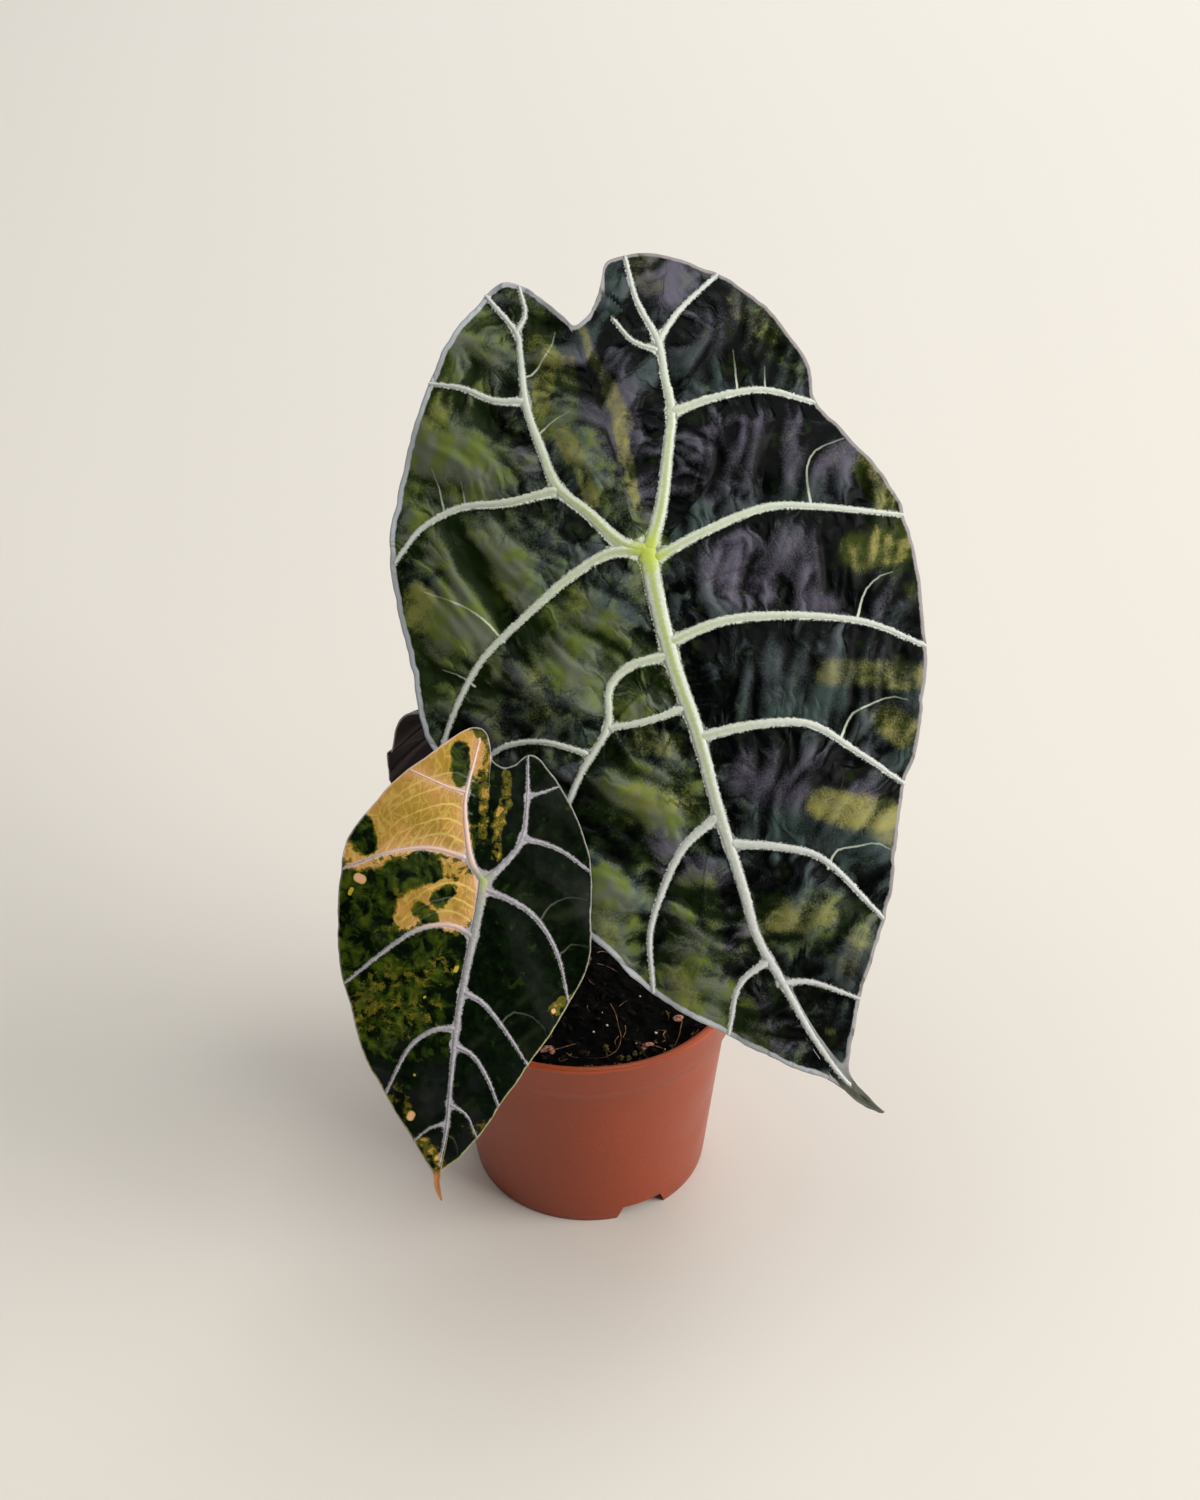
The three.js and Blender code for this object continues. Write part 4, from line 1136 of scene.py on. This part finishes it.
mint = (210, 220, 200)
dark_top, surface = finish("dark_leaf_top", 0.34, specular=0.07)
place, place_x, place_y, _ = attribute(surface, "place")
painted_fold_shading = attribute(surface, "relief")[2]
_, gold, moss_amount, plum_sheen_patches = attribute(surface, "tone")
creases = drawn_creases(surface)
big = speckle(place, 0.05, 3)
mid = speckle(place, 0.15, 5, 0.65)
grain = speckle(place, 1.5, 5, 0.75)
uneven = minus(mid, 0.5)
gritty = minus(grain, 0.5)
leftward = ramp(plus(place_x, (big, 30)), 30, -25)
mossy = ramp(plus(moss_amount, (leftward, 0.42), (uneven, 2.4), (gritty, 0.6)), 0.1, 0.95)
loose = plus(times(uneven, 1.3), (gritty, 0.6))
golden = plus(gold, (loose, ramp(gold, 0.0, 0.5, 0.25, 1.0)))
golden = ramp(golden, 0.12, 1.1, 0, 0.9)
# Painted sheen: where this is high, the lit colour turns to a plum reflection
plum_sheen = calc("ADD", plum_sheen_patches, times(minus(big, 0.45), 1.6), clamp=True)
greener = ramp(speckle(place, 0.12, 3, 0.6), 0.4, 0.62)
# Painted light and shade: low holds each tone's colour in the shaded hollows, and high holds the same
# tones on the lit fold crests with a plum sheen
low = blend(mossy, (1, 3, 4), (22, 36, 10))
low = blend(golden, low, (52, 62, 18))
high = blend(plum_sheen, (62, 78, 75), (98, 94, 110))
high = blend(mossy, high, blend(greener, (104, 112, 94), (102, 117, 56)))
high = blend(golden, high, blend(leftward, (154, 149, 82), (138, 142, 70)))
# The painted light level: fold shading, creases and grain make places lighter or darker as if lit from
# above, and the patches lift it a little
painted_light = plus(
    painted_fold_shading, (gritty, 1.6), (creases, 4.2), (mossy, 0.42), (golden, 0.45), (plum_sheen_patches, 0.1)
)
colour = blend(ramp(painted_light, -0.3, 1.0), low, high)
damp = ramp(speckle(place, 0.11, 3, 0.6), 0.56, 0.7, 0, 0.55)
damp = times(damp, ramp(painted_fold_shading, 0.3, -0.3))
colour = blend(damp, colour, (30, 46, 8))
middle = node(surface, "VectorMath", {0: place}, operation="LENGTH").outputs["Value"]
fresh = ramp(plus(middle, (grain, 11)), 14, 8, 0, 0.85)
colour = blend(fresh, colour, (122, 150, 48))
pale = blend(ramp(middle, 30, 120), mint, (206, 210, 208))
edge_side = ramp(plus(place_x, (mid, 40)), -20, 60)
edge_pale = blend(edge_side, (186, 192, 198), (154, 149, 149))
rim_width = ramp(edge_side, 0, 1, 1.9, 1.1)
colour = vein_paint(colour, pale, mint, edge_pale, spur=3, rim_width=rim_width, sway=0.5)
dull = ramp(place_y, -187, -198, 0, 0.85)
colour = blend(dull, colour, blend(grain, (58, 64, 54), (128, 130, 118)))
lay_on(surface, colour, (grain, 0.25, 0.0004), (creases, 0.8, 0.005),
       roughness=ramp(mid, 0.3, 0.7, 0.28, 0.4))

leaf_under, surface = finish("leaf_underside", 0.55, specular=0.03)
place = attribute(surface, "place")[0]
mid = speckle(place, 0.2, 4, 0.6)
fine_grain = speckle(place, 1.4, 4, 0.7)
colour = blend(mid, (12, 5, 7), (28, 14, 17))
colour = blend(ramp(fine_grain, 0.5, 0.8, 0, 0.4), colour, (52, 32, 35))
colour = vein_paint(colour, (96, 66, 66), (62, 40, 43), (128, 98, 94),
                    spur=1.2, rim_width=0.3, sway=0.5)
lay_on(surface, colour, (fine_grain, 0.3, 0.0004))

rib_top, surface = finish("rib_mint", 0.5, specular=0.3)
_, across, far, half = attribute(surface, "tag")
fleck = speckle(position(surface), 900, 4, 0.65)
pale = blend(ramp(far, 30, 130), (206, 217, 198), (204, 208, 208))
colour = blend(ramp(fleck, 0.35, 0.7, 0, 0.55), pale, (232, 238, 230))
core = plus(calc("ABSOLUTE", across), (fleck, 0.5))
core = times(ramp(core, 0.85, 0.35), ramp(half, 0.8, 2.2))
core = times(core, ramp(far, 200, 50, 0.25, 0.75))
colour = blend(core, colour, blend(ramp(far, 20, 110), (168, 184, 74), (166, 176, 140)))
shaded = times(ramp(across, 0.72, 0.95, 0, 0.5), ramp(half, 1.4, 2.4))
colour = blend(shaded, colour, (140, 126, 96))
sap = ramp(plus(far, (fleck, 9)), 15, 6, 0, 0.85)
colour = blend(sap, colour, (190, 210, 66))
lay_on(surface, colour, (fleck, 0.25, 0.0004))


def flecked(name, specular, low, high):
    """A material of two colours in fine flecks, for the ribs' underside."""
    made, surface = finish(name, 0.5, specular)
    lay_on(surface, blend(speckle(position(surface), 500, 4, 0.6), low, high))
    return made


rib_under = flecked("rib_underside", 0.5, (104, 84, 74), (150, 140, 112))

grow_stalk(LARGE)
grow_ribs(LARGE, *grow_blade(LARGE, dark_top, leaf_under), rib_top, rib_under)


# Small leaf
# The younger leaf at the front left, about 16 cm long, with the same leathery sheet and
# ribs. Its left half is variegated with gold crossed by a fine yellow net, and its drip tip
# has dried and curled.

SMALL = {
    "name": "small_leaf", "slot": "gold_leaf",
    "hub": (-33.1, -72, 190), "tip": (-51.6, -121.7, 104), "facing": (0.017, -0.867, 0.498),
    "stalk_way": (0.12, 0.72, -0.68), "stalk_radius": (3.2, 2), "socket": (-4, -3.5),
    "arch": 4.6, "droop": 0.0032, "quilt": 1.5, "ruffle": 1, "ruffles": 7,
    "pucker": 0.4, "fold": 0.22, "folds": [(4.5, 12), (2.4, 8), (1.3, 6)], "wavy": 0.22,
    "worn": 0.05, "drip_tip": [(0.8, -101.5), (1.2, -104.5), (2.2, -107.5), (3.9, -110)],
    "around": 480, "rings": 90, "rings_under": 24,
    "outline": [
        (0, 38), (4, 39.5), (8, 43.3), (12, 42.5), (16, 39), (21, 34), (26, 27.5), (31, 19.5),
        (35, 10), (37, -3), (39, -15), (38.5, -26), (35, -36), (30, -48), (24, -60), (18, -73),
        (12.5, -85), (6, -95), (2.3, -99.6), (1.9, -103), (2.5, -106.2), (4, -110), (1.7, -107.5),
        (0.4, -104.5), (-0.4, -101), (-4.5, -96), (-13, -86), (-21, -76), (-30, -63.5), (-37, -48.5),
        (-43, -35), (-46.5, -18), (-47.8, -3), (-47, 7), (-42, 16.5), (-35, 27.5), (-24, 39),
        (-15, 47.5), (-10.5, 49.3), (-7, 48), (-5, 44), (-4, 40),
    ],
    "veins": [
        (3.4, 0.5, [(0, 1.5), (0, -11), (-0.7, -28), (-1, -47), (0, -65), (1.3, -84),
                    (0.9, -97.5)]),
        (2.6, 0.6, [(0, 0), (-5, 6), (-9, 18), (-10.5, 27), (-9.5, 40)]),
        (1.3, 0.35, [(-10.6, 28), (-16.5, 28.6), (-25, 30.7)]),
        (2, 0.55, [(-7, 7), (-19, 8), (-32, 4.5), (-45, -2.8)]),
        (2.4, 0.45, [(0, 0), (4.5, 5), (10.4, 15.5), (10, 29), (8.2, 41)]),
        (0.9, 0.3, [(10.1, 29.8), (18, 33.6)]),
        (1.5, 0.45, [(10.6, 16), (17.6, 15.6), (25, 13.7), (32.5, 9.8)]),
        (2, 0.45, [(0, -2), (13, -5.5), (21.5, -11), (29, -21), (34.5, -35)]),
        (1.7, 0.45, [(-0.8, -37), (6, -39.3), (15, -47.3), (24, -57.5)]),
        (1.6, 0.45, [(-0.8, -55), (6, -57.7), (12, -64.5), (17, -73)]),
        (1.0, 0.3, [(0.8, -75.5), (7, -78.2), (11.5, -85)]),
        (2.1, 0.5, [(-0.3, -18.5), (-8, -15.8), (-19, -19), (-30, -29.5), (-40, -41)]),
        (1.7, 0.5, [(-1, -49.5), (-8, -51.2), (-15.4, -58.7), (-20.4, -74.5)]),
        (0.9, 0.3, [(1.3, -82.5), (-4, -84.8), (-8.8, -90.5)]),
    ],
    "fine_veins": [
        (0.5, 0.12, [(20.7, -9.5), (24.2, -3.3), (29.5, -0.8), (34.1, -0.7)]),
        (0.45, 0.12, [(29, -20), (33.2, -15.8), (37.9, -16.3)]),
        (0.45, 0.12, [(13.7, -45.5), (16.7, -41.2), (22.5, -41.5), (27.6, -44.3), (29.3, -47.6)]),
        (0.4, 0.12, [(1.2, -86), (5, -88), (6.5, -93)]),
    ] + [
        (0.5, 0.2, [(-9, y), (-16, y + 1.6), (-24, y - 1.8), (-31, y - 6.6), (-36, y - 13)])
        for y in (12, 17.1, 21.9, 27.7, 32.1)
    ] + [
        (0.5, 0.2, [(x, y), (x + 1.4, y + 4.6), (x + 4.2, y + 9.5)])
        for x, y in ((-13, 8), (-16.5, 8), (-19, 8), (-23, 7.3), (-26, 6.4), (-30, 5), (-34, 3.6))
    ] + [
        (0.5, 0.2, [(-2.5, y), (-9, y + 2.1), (-17, y - 1.2), (-24, y - 8)])
        for y in (-3.5, -8.6, -13)
    ],
    "gold": [
        (-14, 40, -30, 24, 10, 1), (-26, 26, -40, 8, 11, 1), (-16, 20, -28, 12, 11, 1),
        (-12, 12, -20, 12, 7, 1), (-38, 2, -44, 0, 5, 0.8), (-14, 33, -22, 34, 6, 1),
        (-4, -4, -8, -12, 7, 1), (-12, -6, -24, -14, 7, 0.95), (-9, 3, -16, 3, 4, 0.7),
        (-6, 45, -6, 33, 2.6, 0.46), (-5, 31, -4, 23, 2.4, 0.5), (-3.6, 22, -2.6, 14, 2.2, 0.42),
        (2, 36, 3.2, 28, 2.2, 0.45), (3, 27, 2, 19, 3, 0.5), (2, 18, 2.8, 9, 2.2, 0.42),
        (-33, 1.5, -37, 0.6, 2.6, 0.75),
        (-8, -30, -14, -32, 7, 0.3), (-30, -14, -40, -26, 10, 0.3), (-24, -38, -34, -50, 10, 0.3),
        (-12, -44, -20, -50, 8, 0.25), (-6, -92, 2, -98, 5, 0.45), (8, -84, 12, -82, 4, 0.3),
        (-14, -80, -18, -76, 5, 0.3), (34, -34, 30, -40, 3, 0.4),
    ],
    "moss": [
        (-15, 41, -13, 33, 3.6, 1), (-44, 11, -41, 6, 5, 0.95), (-22, 3, -18, 1, 4.2, 0.85),
        (-14, -8, -11, -5, 3.2, 0.75), (-41, -12, -34, -14, 7, 0.85), (-27, -2, -30, -1, 4, 0.7),
        (-7, 20, -8, 24, 2.2, 0.7), (-44, -22, -36, -30, 6, 0.8), (-16, -14, -20, -12, 3, 0.6),
    ],
    "blush_and_sheen": [
        (-41.6, -5.9, -40.2, -6.2, 1.8, 1), (-11, -81.3, -11.3, -82.4, 1.5, 1),
        (-0.2, -94.7, -0.4, -95.4, 0.9, 0.9), (-13, -40.6, -13, -40.7, 0.6, 0.8),
        (30.2, -39.1, 30.3, -39.1, 1.0, 1), (-12.1, -67.5, -12.2, -67.5, 0.8, 0.6),
        (-4, -29, -4.3, -30.4, 1.1, 0.55), (-43, -10, -43.5, -11.5, 1.1, 0.6),
    ],
}

gold_top, surface = finish("gold_leaf_top", 0.36, specular=0.08)
place, place_x, place_y, _ = attribute(surface, "place")
painted_fold_shading = attribute(surface, "relief")[2]
_, gold, green, pink = attribute(surface, "tone")
big = speckle(place, 0.09, 3)
mid = speckle(place, 0.34, 5, 0.65, 0.4)
grain = speckle(place, 2.2, 5, 0.75)
uneven = minus(mid, 0.5)
gritty = minus(grain, 0.5)
colour = blend(ramp(mid, 0.35, 0.7), (1, 6, 1), (9, 24, 5))
islands = speckle(place, 0.2, 5, 0.62, 0.5)
left_side = ramp(plus(place_x, (mid, 14)), 12, -6)
low_part = ramp(place_y, -56, -72)
olive = times(left_side, minus(1.0, low_part))
map_edge = plus(islands, (olive, 0.17), (gritty, 0.04))
leafy = blend(ramp(map_edge, 0.6, 0.88), (16, 34, 5), (72, 86, 18))
leafy = blend(times(minus(1.0, left_side), 0.62), leafy, (22, 40, 7))
colour = blend(ramp(map_edge, 0.61, 0.645), colour, leafy)
# Painted sheen: a dark grey sheen in patches over the lower part of the blade
grey_sheen = times(low_part, ramp(big, 0.4, 0.6, 0.0, 0.7))
colour = blend(grey_sheen, colour, (26, 29, 30))
# Painted highlight: the fold crests are lightened a little towards a pale grey green
painted_light = plus(painted_fold_shading, (gritty, 1.2))
colour = blend(ramp(painted_light, 0.3, 1.5, 0, 0.1), colour, (104, 112, 84))
shade = blend(ramp(big, 0.35, 0.65), (192, 144, 74), (174, 139, 54))
shade = blend(ramp(mid, 0.5, 0.72, 0, 0.7), shade, (160, 132, 48))
beside_rib = plus(attribute(surface, "rib")[2], (mid, 6))
shade = blend(ramp(beside_rib, 7.5, 2.5, 0, 0.6), shade, (226, 172, 126))
shade = blend(ramp(grain, 0.3, 0.55, 0.4, 0), shade, (136, 110, 40))
golden = plus(gold, (green, -1.1), (uneven, 1.7), (gritty, 0.5))
colour = blend(ramp(golden, 0.32, 0.42, 0, 0.85), colour, blend(grain, (58, 64, 14), (122, 114, 36)))
bent = speckle(place, 0.12, 2, 0.5)
upright = {0: plus(place_x, (bent, 12)), 1: times(plus(place_y, (mid, 3)), 0.4)}
upright = node(surface, "CombineXYZ", upright).outputs[0]
cells = node(surface, "TexVoronoi", {"Vector": upright, "Scale": 0.42, "Randomness": 0.9},
             feature="DISTANCE_TO_EDGE").outputs["Distance"]
netted = ramp(plus(cells, (gritty, 0.03)), 0.09, 0.0, 0, 0.36)
shade = blend(netted, shade, (226, 202, 108))
colour = blend(ramp(golden, 0.56, 0.64), colour, shade)
spotted = plus(pink, (grain, 0.3))
colour = blend(ramp(spotted, 0.55, 0.68), colour, (190, 172, 60))
colour = blend(ramp(spotted, 0.88, 1.0), colour, (232, 172, 150))
on_gold = ramp(golden, 0.35, 0.6)
vein_colour = blend(on_gold, (172, 170, 176), (234, 196, 180))
margin_colour = blend(on_gold, (150, 150, 142), (222, 192, 176))
yellow_edge = ramp(plus(place_y, (place_x, -0.5)), -34, -58)
margin_colour = blend(times(yellow_edge, 0.6), margin_colour, (180, 178, 108))
thread = blend(on_gold, (92, 98, 84), (224, 196, 116))
colour = vein_paint(colour, vein_colour, thread, margin_colour,
                    spur=2.6, rim_width=0.35, sway=1.0)
dried = ramp(place_y, -99, -101.5)
colour = blend(dried, colour, blend(grain, (150, 84, 44), (214, 150, 96)))
lay_on(surface, colour, (grain, 0.2, 0.0003))

rib_lilac, surface = finish("rib_lilac", 0.5, specular=0.3)
_, across, far, half = attribute(surface, "tag")
_, place_x, place_y, _ = attribute(surface, "place")
fleck = speckle(position(surface), 800, 4, 0.65)
colour = blend(ramp(fleck, 0.35, 0.7), (148, 146, 154), (186, 184, 190))
rosy = times(ramp(place_x, -1.5, -5), ramp(place_y, -22, -14))
rosy = times(rosy, ramp(place_x, -40, -30))
colour = blend(rosy, colour, blend(fleck, (222, 184, 168), (242, 216, 202)))
core = times(ramp(calc("ABSOLUTE", across), 0.8, 0.2), ramp(half, 0.8, 1.5))
colour = blend(times(core, 0.6), colour, (150, 164, 136))
sap = ramp(plus(far, (fleck, 4)), 7, 2, 0, 0.7)
colour = blend(sap, colour, (176, 188, 108))
flank = plus(calc("ABSOLUTE", across), (fleck, 0.5))
colour = blend(ramp(flank, 0.95, 1.3, 0, 0.6), colour, (72, 78, 66))
lay_on(surface, colour)

grow_stalk(SMALL)
grow_ribs(SMALL, *grow_blade(SMALL, gold_top, leaf_under), rib_lilac, rib_under)


# Back leaf
# A third leaf that leans to the back and turns its dark maroon underside to the front. It
# is built like the others, with side veins in pairs.


def both_ways(veins):
    """Side veins with their mirror images."""
    return veins + [(root, end, [(-x, y) for x, y in path]) for root, end, path in veins]


half_outline = [
    (0, 30), (5, 36), (12, 42), (21, 41.5), (30, 33), (36, 17), (39, 0), (38, -20), (32, -42),
    (23, -62), (12, -80), (4, -92), (1.4, -99), (0, -107),
]
seen_half = [
    (0, 30), (5, 36), (12, 42), (21, 41.5), (29, 32.5), (34.6, 22), (37.6, 12), (39.2, 1),
    (38, -11), (34, -27), (30.2, -44), (26, -60.5), (20.5, -70.5), (12, -81), (4, -92),
    (1.4, -99), (0, -107),
]
BACK = {
    "name": "back_leaf", "slot": "maroon_leaf",
    "hub": (-36, 42, 188), "tip": (-60, 84, 110), "facing": (-0.45, 0.75, 0.5),
    "stalk_way": (0.35, -0.3, -0.9), "stalk_radius": (3.2, 2), "socket": (-3.5, 5),
    "arch": 4, "droop": 0.004, "quilt": 1.3, "ruffle": 1, "ruffles": 6,
    "pucker": 0.3, "fold": 0.14, "folds": [(4.5, 12), (2.4, 8), (1.3, 6)], "wavy": 0.2,
    "worn": 0.08, "drip_tip": [(0, -107)], "bulges": [(38, 14, 12, 3)],
    "around": 420, "rings": 70, "rings_under": 45,
    "outline": seen_half + [(-x, y) for x, y in half_outline[-2:0:-1]],
    "veins": [(4, 0.9, [(0, 1.5), (0, -40), (0, -80), (0, -104)])] + both_ways([
        (2.8, 0.9, [(0, 0), (7, 8), (11, 22), (13, 38)]),
        (1.8, 0.9, [(11, 22), (20, 24), (31, 28)]),
        (2.3, 0.9, [(0, -2), (14, -1), (27, -7), (37, -18)]),
        (2, 0.9, [(0, -26), (12, -28), (22, -38), (28, -48)]),
        (1.7, 0.8, [(0, -50), (9, -53), (18, -68)]),
    ]),
    "fine_veins": both_ways([
        (0.8, 0.3, [(20, -3), (26, 4), (33, 6)]),
        (0.8, 0.3, [(16, -31), (24, -28), (31, -31)]),
    ]),
    "gold": [(-20, -30, -28, -40, 9, 0.7), (18, 20, 26, 12, 8, 0.6), (14, -60, 10, -70, 6, 0.6)],
    "moss": [(-10, 10, 10, -60, 30, 0.5)],
    "blush_and_sheen": [(20, 0, 24, -30, 14, 0.6)],
}
dark_rib_under = flecked("dark_rib_underside", 0.1, (34, 20, 24), (58, 40, 42))
grow_stalk(BACK)
grow_ribs(BACK, *grow_blade(BACK, dark_top, leaf_under), rib_top, dark_rib_under)


# Floor, light and camera
# A warm white floor, a broad window at the right, a weaker ceiling light and a far window that
# lights the floor behind. The camera stands where the pot's curves put it.

pick()
bpy.ops.mesh.primitive_plane_add(size=24, location=(0, 2.2, 0))
floor = bpy.context.object
floor.name = "floor"
material, surface = finish("warm_white_paint", 0.85)
surface.inputs["Base Color"].default_value = srgb(231, 227, 219)
coat(floor, material)


def soft_light(name, place, size, power, colour, target=(0, 0, 0.15)):
    """A square soft box aimed at the plant."""
    lamp = bpy.data.lights.new(name, "AREA")
    lamp.size, lamp.energy, lamp.color = size, power, colour
    box = bpy.data.objects.new(name, lamp)
    box.location = place
    box.rotation_euler = (Vector(place) - Vector(target)).to_track_quat("Z", "Y").to_euler()
    bpy.context.scene.collection.objects.link(box)


soft_light("window", (2.5, -0.9, 1.5), size=2.2, power=92, colour=(1.0, 0.97, 0.93))
soft_light("ceiling", (0.1, 0.2, 2.6), size=3.2, power=45, colour=(1.0, 0.98, 0.955))
soft_light("far_window", (0.5, 2.3, 1.4), size=1.8, power=20, colour=(0.93, 0.965, 1.0),
           target=(0.2, 2.0, 0))
world = bpy.data.worlds.new("room")
bpy.context.scene.world = world
world.use_nodes = True
glow = world.node_tree.nodes["Background"].inputs
glow["Color"].default_value = (1.0, 0.9, 0.76, 1)
glow["Strength"].default_value = 0.08
bpy.context.scene.view_settings.view_transform = "Standard"

focus, tilt, roll = 62.4, math.radians(36.0), math.radians(-1.0)
looked_at, distance = Vector((6.6, 0, 191.3)), 925
ahead = Vector((0, math.cos(tilt), -math.sin(tilt)))
right = Vector((1, 0, 0))
above = right.cross(ahead)
right, above = (math.cos(roll) * right + math.sin(roll) * above,
                math.cos(roll) * above - math.sin(roll) * right)
lens = bpy.data.cameras.new("camera")
lens.lens, lens.sensor_width = focus, 36
camera = bpy.data.objects.new("camera", lens)
turned = Matrix((right, above, -ahead)).transposed().to_4x4()
spot = looked_at - ahead * distance
camera.matrix_world = Matrix.Translation(spot / 1000 + Vector((pot_x, pot_y, 0))) @ turned
bpy.context.scene.collection.objects.link(camera)
bpy.context.scene.camera = camera
